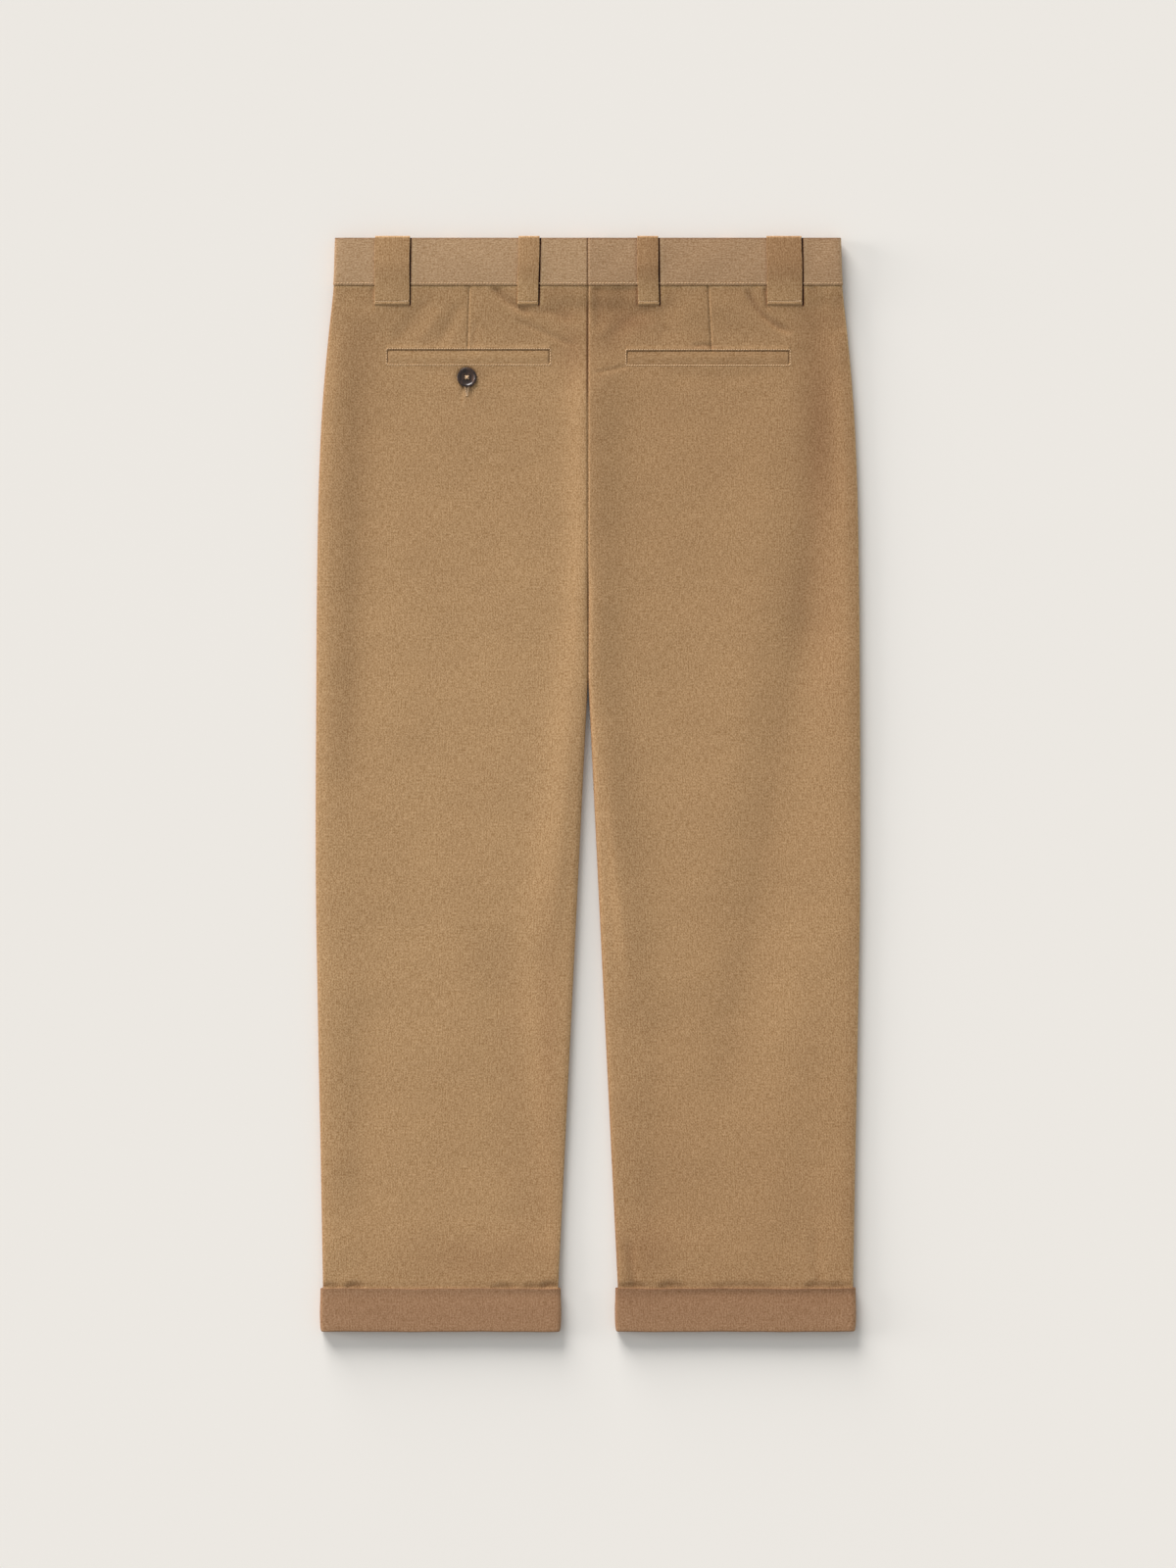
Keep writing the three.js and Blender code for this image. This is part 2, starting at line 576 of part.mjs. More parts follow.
for (const [word, side] of [["left", -1], ["right", 1]]) {
  add(`back_${word}`, panel(side, BACK, BACK_STATIONS, BACK_COLUMNS), TWILL);
  add(`front_${word}`, panel(side, FRONT, FRONT_STATIONS, FRONT_COLUMNS), TWILL);
  add(`waistband_${word}`, waistband(side), TWILL);
  add(`turn_up_${word}`, cuff(side), TWILL_TURNED);
}
for (const loop of BACK_LOOPS) add(loop.name, backLoop(loop), TWILL);
for (const loop of FRONT_LOOPS) add(loop.name, frontLoop(loop), TWILL);
for (const piece of WELTS) add(piece.name, welt(piece), TWILL);

const pocketButton = add("pocket_button", button(POCKET_BUTTON), HORN);
const pocketButtonSeat = Math.max(
  ...[-0.5, 0, 0.5].map((k) =>
    heightOnBack(-1, POCKET_BUTTON.across + k * POCKET_BUTTON.diameter, POCKET_BUTTON.down),
  ),
);
pocketButton.position.set(
  POCKET_BUTTON.across,
  TOP_Y - POCKET_BUTTON.down,
  pocketButtonSeat + POCKET_BUTTON.clear,
);

// The waist button faces down, under the waistband, just clear of it.
const waistButton = add("waist_button", button(WAIST_BUTTON), HORN);
waistButton.rotation.x = Math.PI;
waistButton.position.set(WAIST_BUTTON.across, TOP_Y - WAIST_BUTTON.down, BAND_UNDER_HEIGHT - SEAM_GAP);

export default trousers;
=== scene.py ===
"""Chino trousers laid flat with the back up, dressed in cotton twill round a fixed frame.

Tables and shape functions are in millimetres: x is across, "down" is the distance below the
waistband's top edge and z is the height above the surface that the trousers lie on.
"""

import math
from collections import namedtuple

import bmesh
import bpy
import numpy as np
from bpy.props import FloatProperty, FloatVectorProperty, PointerProperty
from mathutils import Matrix, Vector


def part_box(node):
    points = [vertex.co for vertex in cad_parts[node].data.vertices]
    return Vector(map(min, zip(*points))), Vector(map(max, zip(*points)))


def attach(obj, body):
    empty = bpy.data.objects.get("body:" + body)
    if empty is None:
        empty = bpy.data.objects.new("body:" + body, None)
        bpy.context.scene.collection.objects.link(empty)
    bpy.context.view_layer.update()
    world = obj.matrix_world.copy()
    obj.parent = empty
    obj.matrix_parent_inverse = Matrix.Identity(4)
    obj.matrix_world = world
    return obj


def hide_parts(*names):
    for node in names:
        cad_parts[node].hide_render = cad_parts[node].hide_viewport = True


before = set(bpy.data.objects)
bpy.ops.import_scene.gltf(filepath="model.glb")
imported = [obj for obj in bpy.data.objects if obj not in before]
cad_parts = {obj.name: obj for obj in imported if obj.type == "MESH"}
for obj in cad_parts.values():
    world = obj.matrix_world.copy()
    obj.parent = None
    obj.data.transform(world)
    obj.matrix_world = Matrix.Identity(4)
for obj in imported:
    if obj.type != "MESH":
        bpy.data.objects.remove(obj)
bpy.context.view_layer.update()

bl_info = {
    "name": "Chino trousers",
    "version": (1, 0, 0),
    "blender": (4, 5, 0),
    "location": "View3D > Sidebar > Trousers",
    "description": "Chino trousers laid flat: twill panels, waistband, belt loops, welt pockets, turn-ups",
    "category": "Add Mesh",
}

MM = 0.001


def hex_colour(text):
    """An sRGB hex colour as a linear one."""
    values = [int(text[k : k + 2], 16) / 255 for k in (1, 3, 5)]
    return [v / 12.92 if v <= 0.04045 else ((v + 0.055) / 1.055) ** 2.4 for v in values]


def face_of(node, corner, axis):
    """Where a node's box ends along an axis, in millimetres: corner 0 is the low side, 1 the high one."""
    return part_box(node)[corner][axis] / MM


# Sizes that come from the frame.
TOP_Y = face_of("waistband_left", 1, 1)
BAND_DEPTH = TOP_Y - face_of("waistband_left", 0, 1)
BAND_TOP = face_of("waistband_left", 1, 2)
BAND_UNDER = face_of("waistband_left", 0, 2)
CUFF_TOP_DOWN = TOP_Y - face_of("turn_up_left", 1, 1)
OUTSEAM = TOP_Y - face_of("turn_up_left", 0, 1)
LOOP_RISE = {1: face_of("belt_loop_back_left", 1, 1) - TOP_Y, -1: face_of("belt_loop_front_left", 1, 1) - TOP_Y}
LOOP_END_DOWN = TOP_Y - face_of("belt_loop_back_left", 0, 1)
LEG_END_DOWN = TOP_Y - face_of("back_left", 0, 1)
FULL_REACH = face_of("back_right", 1, 0)

# Sizes of the cut.
CROTCH_DOWN = 333.5
LEGS_PART_DOWN = 375.5
HEM_GAP = 51.2
FORK_TURN = 70
EDGE_ROUND = 8
EDGE_POWER = 0.38
PANEL_WALL = 1.3
BAND_WALL = 2.2
CUFF_WALL = 1.2
LOOP_WALL = 1.0
WELT_WALL = 0.9
BAND_PROUD = 0.5

# The side outline: reach is from the centre line out to the side edge.
OUTLINE = (
    # down, reach
    (0, 216.4),
    (40, 217.9),
    (81, 222.2),
    (115, 225.5),
    (149, 228.1),
    (199, 230.5),
    (283, 232.3),
    (384, 233.1),
    (586, 233.1),
    (653, 231.9),
    (720, 230.7),
    (787, 229.3),
    (854, 228.1),
    (900, 227.3),
    (938, 227.3),
)

# Heights of the fronts' lower face and of the backs' upper face.
HEIGHTS = (
    # down, under, top
    (40.6, 3.4, 9.7),
    (60, 2.4, 8.8),
    (84, 0.9, 7.3),
    (112, 0, 6.4),
    (190, 0, 6.1),
    (400, 0, 6.1),
    (620, 0, 6.0),
    (830, 0, 6.5),
    (888, 1.1, 7.6),
    (894, 1.3, 7.6),
    (899, 1.5, 7.3),
    (905, 1.5, 7.9),
    (938, 1.5, 7.9),
)

Fold = namedtuple("Fold", "name start bend end west east rise")

# Soft folds of the backs, each from its start past its bend to its end, as (x, down). Its cross-section
# falls away over west on its left side and over east on its right; a trough has a negative rise.
BACK_FOLDS = (
    Fold("ridge on the seat seam", (0, 66), (0, 240), (1, 372), 15, 25, 3.0),
    Fold("fork ridge, left leg", (-1, 318), (-14, 430), (-40, 640), 18, 14, 1.75),
    Fold("fork ridge, right leg", (1, 318), (14, 450), (44, 680), 11, 20, 2.2),
    Fold("long trough, upper", (198, -10), (206, 220), (184, 420), 18, 24, -1.8),
    Fold("long trough, lower", (196, 240), (180, 430), (112, 780), 20, 32, -1.05),
    Fold("swell beside the long trough", (150, 120), (160, 330), (92, 620), 34, 17, 0.5),
    Fold("side trough, left leg", (-196, 40), (-190, 260), (-206, 520), 12, 20, -0.7),
    Fold("knee trough, left leg", (-112, 500), (-92, 575), (-58, 690), 18, 24, -0.2),
    Fold("second knee trough, left leg", (-168, 520), (-140, 590), (-112, 660), 14, 18, -0.25),
    Fold("calf trough, left leg", (-74, 560), (-52, 740), (-34, 900), 26, 16, -1.05),
    Fold("shin ridge, right leg", (196, 560), (174, 740), (158, 900), 28, 26, 0.7),
    Fold("side trough, right leg", (207, 100), (210, 170), (214, 260), 9, 9, -0.5),
    Fold("shin trough, right leg", (62, 640), (62, 740), (56, 880), 15, 26, -0.7),
    Fold("shin trough, left leg", (-196, 640), (-190, 730), (-200, 860), 14, 20, -0.6),
    Fold("hollow below the waistband", (-46, 58), (20, 63), (88, 62), 12, 12, -1.2),
    Fold("hollow beside the inner right loop", (62, 38), (72, 60), (66, 92), 9, 14, -0.6),
    Fold("hollow left of the outer right loop", (104, 62), (124, 76), (146, 96), 8, 8, -0.3),
    Fold("hollow at the right side", (219, 46), (214, 62), (220, 86), 7, 7, -0.5),
    Fold("hollow at the left side", (-214, 48), (-200, 58), (-184, 60), 9, 9, -0.15),
    Fold("fold right of the outer left loop", (-130, 42), (-146, 68), (-170, 94), 7, 8, -0.45),
    Fold("fold left of the left dart", (-109, 52), (-115, 74), (-131, 94), 5, 6, -0.4),
    Fold("lift between those folds", (-124, 60), (-134, 76), (-148, 92), 5, 5, 0.25),
    Fold("crease below the left welt", (-150, 112), (-110, 122), (-60, 116), 7, 7, -0.25),
    Fold("crease from the left pocket button", (-98, 130), (-60, 160), (-40, 210), 9, 10, -0.25),
    Fold("crease below the right welt", (60, 116), (110, 124), (168, 114), 7, 7, -0.25),
)

# Narrow creases, which reach right up to the waistband and down behind the turn-ups.
BACK_CREASES = (
    Fold("crease under the inner left loop", (-84, 36), (-69, 61), (-44, 64), 3.0, 3.8, -1.15),
    Fold("its faint end", (-52, 64), (-30, 60), (-10, 72), 3.6, 4.6, -0.4),
    Fold("crease below that one", (-66, 69), (-36, 82), (-6, 95), 2.4, 2.8, -0.4),
    Fold("hollow right of the seat seam", (7, 22), (9, 56), (9, 84), 4, 8, -0.7),
    Fold("hollow left of the inner right loop", (34, 20), (28, 60), (18, 108), 13, 13, -0.8),
    Fold("crease from the inner right loop", (62, 56), (38, 66), (12, 90), 6, 7, -0.4),
    Fold("crease left of the outer right loop", (134, 38), (145, 73), (178, 82), 2.4, 3.2, -1.1),
    Fold("crease beside the outer right loop", (150.4, 24), (152, 48), (154.5, 64), 1.6, 1.6, -0.7),
    Fold("crease right of the outer right loop", (184, 28), (195, 47), (207, 62), 1.9, 2.3, -0.35),
    Fold("crease beside the outer left loop", (-184.6, 24), (-184.8, 48), (-184.4, 64), 2, 2, -0.3),
    Fold("crease at the foot of the left dart", (-97, 70), (-95, 84), (-100, 99), 3, 4, -0.25),
    Fold("pucker at the foot of the right dart", (88, 93), (99, 91), (112, 93), 1.7, 1.7, -0.4),
    Fold("crease below the right welt's end", (2, 116), (20, 114), (38, 108), 1.8, 2, -0.32),
    Fold("dent above the left turn-up, side", (-208, 904), (-200, 893), (-192, 904), 3.5, 3.5, -1.2),
    Fold("dent above the left turn-up's corner", (-232, 902), (-222, 896), (-213, 904), 3.5, 4, -0.8),
    Fold("dent above the left turn-up, inseam", (-41, 904), (-33.5, 893), (-27, 903), 3.5, 3.5, -1.3),
    Fold("small dent beside it", (-55, 905), (-48, 896), (-42, 904), 3.5, 3.5, -0.7),
    Fold("small dent further out", (-84, 905), (-73, 896), (-63, 904), 3.5, 3.5, -0.75),
    Fold("dent above the right turn-up, inseam", (35, 856), (37, 884), (42, 912), 4, 5, -0.55),
    Fold("foot of that dent", (26, 904), (40, 893), (54, 904), 3.5, 3.5, -0.6),
    Fold("second dent above the right turn-up", (60, 905), (71, 892), (84, 905), 4, 4.5, -0.85),
    Fold("third dent above the right turn-up", (100, 903), (134, 894), (166, 904), 4, 4, -0.4),
    Fold("dent above the right turn-up, side", (186, 904), (196, 893), (206, 904), 4, 4, -0.75),
    Fold("soft dent up from it", (194, 846), (195, 874), (198, 904), 5, 6, -0.3),
    Fold("dent above the right turn-up's corner", (206, 904), (214, 894), (224, 904), 4, 4, -0.6),
)

# Shallow folds of the fronts, which lift the cloth off the surface.
FRONT_FOLDS = (
    Fold("fork lift, left", (-6, 300), (-30, 350), (-80, 420), 14, 14, 0.9),
    Fold("fork lift, right", (6, 300), (34, 345), (92, 400), 14, 14, 0.9),
    Fold("knee lift, left", (-60, 560), (-110, 600), (-170, 610), 15, 15, 0.7),
    Fold("knee lift, right", (70, 540), (120, 590), (180, 620), 15, 15, 0.7),
    Fold("hip lift, left", (-190, 120), (-150, 170), (-120, 250), 9, 12, 0.5),
    Fold("hip lift, right", (196, 110), (160, 180), (110, 240), 10, 12, 0.5),
)
FOLD_STEPS = 16
FOLD_END_SHARE = 0.22
# The roll along each side edge and inseam: its crest, and how far it falls away inwards.
ROLL = {"rise": 1.5, "from_edge": 12, "inwards": 24, "outwards": 11}
INSEAM_ROLL = {"rise": 0.6, "from_edge": 10, "inwards": 14, "outwards": 9}

# Slow unevenness of cloth that has been worn and smoothed by hand: plane waves.
WAVES = (
    # wavelength, heading in degrees, phase, height
    (97, 12, 0.4, 0.09),
    (71, 74, 2.1, 0.06),
    (53, -31, 4.4, 0.04),
    (37, 104, 1.2, 0.03),
    (29, 48, 5.3, 0.02),
    (131, -68, 3.1, 0.13),
)

# Belt loops: across is the centre line, lean moves the lower end sideways. tones are the tones at the upper and lower
# end. Their change along the loop and the darker loops on the right are painted shade. shade is the strength and width
# of the painted shade along the left edge.
LOOPS = {
    "belt_loop_back_left_wide": {"across": -167.5, "width": 30, "lean": -0.6, "bow": 0.5, "up": 1, "tones": (0.88, 1.02), "shade": (0.15, 1.0)},
    "belt_loop_back_left": {"across": -50.4, "width": 18, "lean": -1.3, "bow": 0.6, "up": 1, "tones": (0.85, 1.05), "shade": (0.15, 1.0)},
    "belt_loop_back_right": {"across": 51.0, "width": 18, "lean": 0.9, "bow": 0.6, "up": 1, "tones": (0.74, 1.0), "shade": (0.3, 1.6)},
    "belt_loop_back_right_wide": {"across": 168, "width": 30, "lean": 0.8, "bow": 0.5, "up": 1, "tones": (0.72, 0.94), "shade": (0.2, 1.2)},
    "belt_loop_front_left": {"across": -118, "width": 18, "lean": 0, "bow": 0, "up": -1, "tones": (0.85, 0.85), "shade": (0, 1)},
    "belt_loop_front_right": {"across": 118, "width": 18, "lean": 0, "bow": 0, "up": -1, "tones": (0.85, 0.85), "shade": (0, 1)},
}

WELTS = {
    "pocket_welt_left": {"side": -1, "near": 33.2, "far": 171.8, "top": 95.8, "bottom": 107.5},
    "pocket_welt_right": {"side": 1, "near": 33.6, "far": 172.4, "top": 96.6, "bottom": 107.9},
}
WELT_RECESS = 0.9
WELT_MARGIN = 0.65

# Darts, from the waist seam to the pocket's mouth.
DARTS = (
    # top, bottom, depth of the groove
    ((-101.6, 41), (-103.3, 95), 0.55),
    ((102.9, 41), (105.8, 96), 0.85),
)

POCKET_BUTTON = {"across": -103.7, "down": 119.3, "radius": 8.4, "thickness": 2.6}
WAIST_BUTTON = {"across": 1, "down": 20, "radius": 8.5, "thickness": 2.3}
BUTTONHOLE = {"top": 114, "bottom": 134.6, "half_width": 1.9}

# Flat cut of what shows, for one of each pair: width and length in metres, area in square metres.
CUTS = {
    "back": (0.242, 0.897, 0.192),
    "front": (0.242, 0.897, 0.192),
    "waistband": (0.0403, 0.462, None),
    "turn_up": (0.425, 0.0772, None),
}


# Shape functions.
def ease(value, low, high):
    """Goes softly from 0 at low to 1 at high."""
    share = np.clip((value - low) / (high - low), 0, 1)
    return share * share * (3 - 2 * share)


def bell(distance, spread):
    return np.exp(-((distance / spread) ** 2))


def curve_through(downs, values, slopes, down):
    """The smooth curve through a table's rows that has the given slope at each."""
    k = np.clip(np.searchsorted(downs, down) - 1, 0, len(downs) - 2)
    width = downs[k + 1] - downs[k]
    t = (down - downs[k]) / width
    start = (1 + 2 * t) * (1 - t) ** 2 * values[k] + t * (1 - t) ** 2 * width * slopes[k]
    end = t * t * (3 - 2 * t) * values[k + 1] + t * t * (t - 1) * width * slopes[k + 1]
    return start + end


def reach_at(down):
    """How far out the side edge is."""
    downs, reaches = np.array(OUTLINE, float).T
    return curve_through(downs, reaches, np.gradient(reaches, downs), down)


def table_height(column, down):
    """A column of HEIGHTS as a smooth curve, level wherever the table turns from rising to falling."""
    rows = np.array(HEIGHTS, float)
    downs, heights = rows[:, 0], rows[:, column]
    steps = np.diff(heights) / np.diff(downs)
    before, after = steps[:-1], steps[1:]
    turning = before * after <= 0
    middle = np.where(turning, 0, 2 * before * after / np.where(turning, 1, before + after))
    slopes = np.concatenate([steps[:1], middle, [0]])
    return curve_through(downs, heights, slopes, np.clip(down, downs[0], downs[-1]))


def under_height(down):
    return table_height(1, down)


def top_height(down):
    return table_height(2, down)


def seam_height(down):
    return (under_height(down) + top_height(down)) / 2


def inner_edge(down):
    """A leg's inseam edge, or the middle of the seat above the fork."""
    opening = HEM_GAP / 2 / (CUFF_TOP_DOWN - LEGS_PART_DOWN)
    return opening * np.maximum(0, np.minimum(down, CUFF_TOP_DOWN) - LEGS_PART_DOWN)


def leg_share(down):
    """0 where left and right are sewn edge to edge, 1 where each rolls round into its own leg."""
    return ease(down, CROTCH_DOWN - FORK_TURN, CROTCH_DOWN)


def fold_route(fold):
    """Points along a fold's quadratic curve."""
    t = np.linspace(0, 1, FOLD_STEPS + 1)[:, None]
    start, bend, end = (np.array(p, float) for p in (fold.start, fold.bend, fold.end))
    return (1 - t) ** 2 * start + 2 * t * (1 - t) * bend + t * t * end


def fold_rise(folds, x, down):
    """How much the folds raise or lower the cloth at each place."""
    total = np.zeros(np.broadcast(x, down).shape)
    for fold in folds:
        route = fold_route(fold)
        nearest = np.full(total.shape, np.inf)
        share = np.zeros(total.shape)
        offset = np.zeros(total.shape)
        for k in range(FOLD_STEPS):
            (ax, ay), (bx, by) = route[k], route[k + 1]
            along = ((x - ax) * (bx - ax) + (down - ay) * (by - ay)) / ((bx - ax) ** 2 + (by - ay) ** 2)
            held = np.clip(along, 0, 1)
            dx = x - ax - held * (bx - ax)
            dy = down - ay - held * (by - ay)
            away = np.hypot(dx, dy)
            closer = away < nearest
            nearest = np.where(closer, away, nearest)
            share = np.where(closer, (k + held) / FOLD_STEPS, share)
            offset = np.where(closer, dx, offset)
        side = 0.5 + 0.5 * np.tanh(offset / 2.0)
        spread = fold.west + (fold.east - fold.west) * side
        ends = ease(share, 0, FOLD_END_SHARE) * ease(1 - share, 0, FOLD_END_SHARE)
        total += fold.rise * ends * bell(nearest, spread)
    return total


def unevenness(x, down):
    total = 0
    for wavelength, heading, phase, height in WAVES:
        a = math.radians(heading)
        total = total + height * np.sin(2 * math.pi * (x * math.cos(a) + down * math.sin(a)) / wavelength + phase)
    return total


def line_distance(start, end, x, down):
    """Distance from a straight seam, growing past its ends."""
    (ax, ay), (bx, by) = start, end
    along = np.clip(((x - ax) * (bx - ax) + (down - ay) * (by - ay)) / ((bx - ax) ** 2 + (by - ay) ** 2), 0, 1)
    return np.hypot(x - ax - along * (bx - ax), down - ay - along * (by - ay))


def welt_recess(x, down):
    """The opening that each welt lies in: a lip at its mouth and both ends, none along the bottom."""
    total = 0
    for welt in WELTS.values():
        across = welt["side"] * x
        ends = ease(across, welt["near"] - 0.5, welt["near"]) * ease(-across, -welt["far"] - 0.5, -welt["far"])
        mouth = ease(down, welt["top"] - 0.3, welt["top"] + 0.1)
        floor = 1 - ease(down, welt["bottom"] - 1.5, welt["bottom"] + 0.8)
        lip = bell(down - welt["top"] + 1.6, 1.6) * (1 - mouth)
        total = total + ends * (0.35 * lip - WELT_RECESS * mouth * floor)
    return total


def buttonhole_pucker(x, down):
    """The slot below the pocket button, with the cloth drawn in round its end."""
    dx = x - POCKET_BUTTON["across"]
    dy = down - POCKET_BUTTON["down"]
    slot = bell(dx, 0.55) * ease(down, BUTTONHOLE["top"], BUTTONHOLE["top"] + 3)
    slot = slot * (1 - ease(down, BUTTONHOLE["bottom"] - 2, BUTTONHOLE["bottom"]))
    rays = bell(np.abs(dx) - 3.2 - 0.16 * (down - 126), 1.5) * bell(down - 131, 8)
    away = np.hypot(dx, dy)
    return -0.4 * bell(away, 12) - 0.9 * (1 - ease(away, 7.4, 9.4)) - 0.2 * slot - 0.45 * rays


def roll_height(roll, from_edge):
    """Cross-section of a rolled edge, at a distance in from it."""
    past = from_edge - roll["from_edge"]
    return roll["rise"] * bell(past, np.where(past > 0, roll["inwards"], roll["outwards"]))


def back_height(x, down):
    """Upper face of the backs."""
    rolls = roll_height(ROLL, reach_at(down) - np.abs(x)) * (1 - 0.45 * ease(down, 330, 560))
    short = leg_share(down) * (1 - ease(down, 700, 860))
    rolls = rolls + roll_height(INSEAM_ROLL, np.abs(x) - inner_edge(down)) * short
    in_leg = ease(down, 42, 112) * (1 - ease(down, 850, 893))
    free = ease(down, 42, 62) * (1 - ease(down, 893, 905))
    height = top_height(down) + rolls * in_leg
    height = height + (fold_rise(BACK_FOLDS, x, down) + unevenness(x, down)) * free
    height = height + fold_rise(BACK_CREASES, x, down) * ease(down, 40.5, 45) * (1 - ease(down, 899, 903))
    ripple = np.sin(x / 2.3 + 1.4 * np.sin(x / 7.7)) * np.sin(x / 19 + 0.6)
    height = height + 0.16 * ripple * np.exp(-np.maximum(down - 41, 0) / 5)
    seat_seam = bell(x, 0.9) * (1 - leg_share(down))
    height = height - 0.95 * seat_seam - 0.12 * bell(x, 4) * (1 - leg_share(down))
    for start, end, depth in DARTS:
        away = line_distance(start, end, x, down)
        height = height - depth * bell(away, 0.8) - 0.15 * bell(away, 5)
    height = height - 0.3 * bell(down - 40.4, 0.8)
    return height + welt_recess(x, down) + buttonhole_pucker(x, down)


# Tones of the cloth, as shares of its colour. The lower tones of the right halves are painted shade. The fold, crease
# and side tones darken hollows, creases and side seams as painted shade, and the rim tones even out the low light from
# the left.
PANEL_TONE = {-1: 1.0, 1: 0.94}
BAND_TONE = {-1: 1.03, 1: 0.915}
CUFF_TONE = {-1: 0.965, 1: 0.94}
FOLD_PAINTED_SHADE = 0.03
CREASE_PAINTED_SHADE = 0.13
SIDE_PAINTED_SHADE = -0.055
RIM_TONE = {"right": 0.6, "left": -0.3, "left_under": -0.7, "spread": 1.2}


def rim_tone(side, x, down, under=False, beyond=0.0):
    """Evens out the low light from the left where the cloth rolls over: paler on edges that face right.
    beyond is how far past the leg's own edge the rim is."""
    outer = bell(reach_at(down) + beyond - np.abs(x), RIM_TONE["spread"])
    inner = bell(np.abs(x) - inner_edge(down) + beyond, RIM_TONE["spread"]) * leg_share(down)
    right, left = (outer, inner) if side > 0 else (inner, outer)
    share = 1.0 if side > 0 else 0.55
    return RIM_TONE["right"] * share * right + RIM_TONE["left_under" if under else "left"] * left


def loop_shade(x, down):
    """Tone of the cloth beside the back loops, whose raised edges keep the light off it: dark in a narrow line
    along the right edge, softer along the left one."""
    total = 0
    for loop in LOOPS.values():
        if loop["up"] > 0:
            middle = loop["across"] + loop["lean"] * down / LOOP_END_DOWN
            past_right = x - middle - loop["width"] / 2
            past_left = middle - loop["width"] / 2 - x
            strength, spread = loop["shade"]
            left = strength * np.where(down < BAND_DEPTH, 0.5, 1.0) * bell(past_left - 0.5 * spread, spread)
            # Just past the dark line, a paler strip is painted light.
            total = total - 1.6 * bell(past_right - 0.5, 0.75) + 0.3 * bell(past_right - 2.7, 1.3) - left
    return total * (1 - ease(down, LOOP_END_DOWN - 1.5, LOOP_END_DOWN + 1.5))


# Painted light and shade in patches: place across and down, width and length of the patch, and its tone. A negative
# tone is painted shade and a positive one is painted light.
PAINTED_LIGHT_AND_SHADE_PATCHES = (
    (-188, 58, 20, 16, 0.06),
    (-30, 44, 26, 6, -0.1),
    (-12, 98, 13, 24, -0.17),
    (42, 73, 14, 8, -0.15),
    (-20, 66, 12, 7, -0.11),
    (199, 50, 12, 10, 0.15),
    (100, 93.5, 14, 2.5, -0.15),
    (-96.5, 126, 4, 4, 0.3),
    (197, 172, 11, 60, -0.13),
    (-96, 876, 70, 20, -0.13),
    (50, 868, 22, 22, -0.14),
    (-34, 680, 10, 110, -0.13),
)


def back_tone_and_painted_shade(side, x, down):
    """Tone of the backs, mostly painted light and shade: hollows, creases and side seams come out darker as painted
    shade. The cloth is darker towards the waist and the hems, the rims, the loops' sides and the patches carry painted
    light and shade, and the seat seam is a dark line.
    """
    painted_hollow_shade = FOLD_PAINTED_SHADE * np.minimum(fold_rise(BACK_FOLDS, x, down), 0)
    painted_hollow_shade = painted_hollow_shade + CREASE_PAINTED_SHADE * np.minimum(fold_rise(BACK_CREASES, x, down), 0)
    painted_side_shade = bell(reach_at(down) - np.abs(x) - 24, 18) * (1 - ease(down, 330, 600))
    hem = 0.08 * ease(down, 600, 890) * (1 + 0.25 * side)
    waist = 0.07 * (1 - ease(down, 120, 420))
    total = PANEL_TONE[side] + painted_hollow_shade + SIDE_PAINTED_SHADE * painted_side_shade - hem - waist + rim_tone(side, x, down)
    for across, middle, wide, long, tone in PAINTED_LIGHT_AND_SHADE_PATCHES:
        total = total + tone * bell(x - across, wide) * bell(down - middle, long)
    seam = 0.45 * ease(down, 44, 62) * (1 - ease(down, 125, 150)) + 1.2 * ease(down, 325, 352)
    total = total - seam * bell(x + 0.6, 0.9) * (1 - leg_share(down))
    # The line just below the waistband seam is paler, as painted light.
    return total + loop_shade(x, down) + 0.25 * bell(down - 42, 1.3)


FLY = {"across": 0.0, "stitch": 34, "curve_down": 150, "end_down": 196}
SLANT = {"top": (150, 42), "bottom": (206, 190)}


def front_height(x, down):
    """Lower face of the fronts, which lies on the surface but for a few folds and seams."""
    height = under_height(down) + fold_rise(FRONT_FOLDS, x, down)
    pressed = np.maximum(0, height)
    seam = 0.9 * bell(x, 0.9) * (1 - leg_share(down))
    across = np.abs(x)
    slant = 0.5 * bell(line_distance(SLANT["top"], SLANT["bottom"], across, down), 0.8)
    return pressed + seam + slant + 0.8 * bell(down - 40.4, 1.1)


def squarish(angle):
    """Cosine and sine of a quarter turn that bends late, as the edge of pressed cloth does."""
    cos, sin = np.cos(angle), np.sin(angle)
    return np.abs(cos) ** EDGE_POWER, np.sign(sin) * np.abs(sin) ** EDGE_POWER


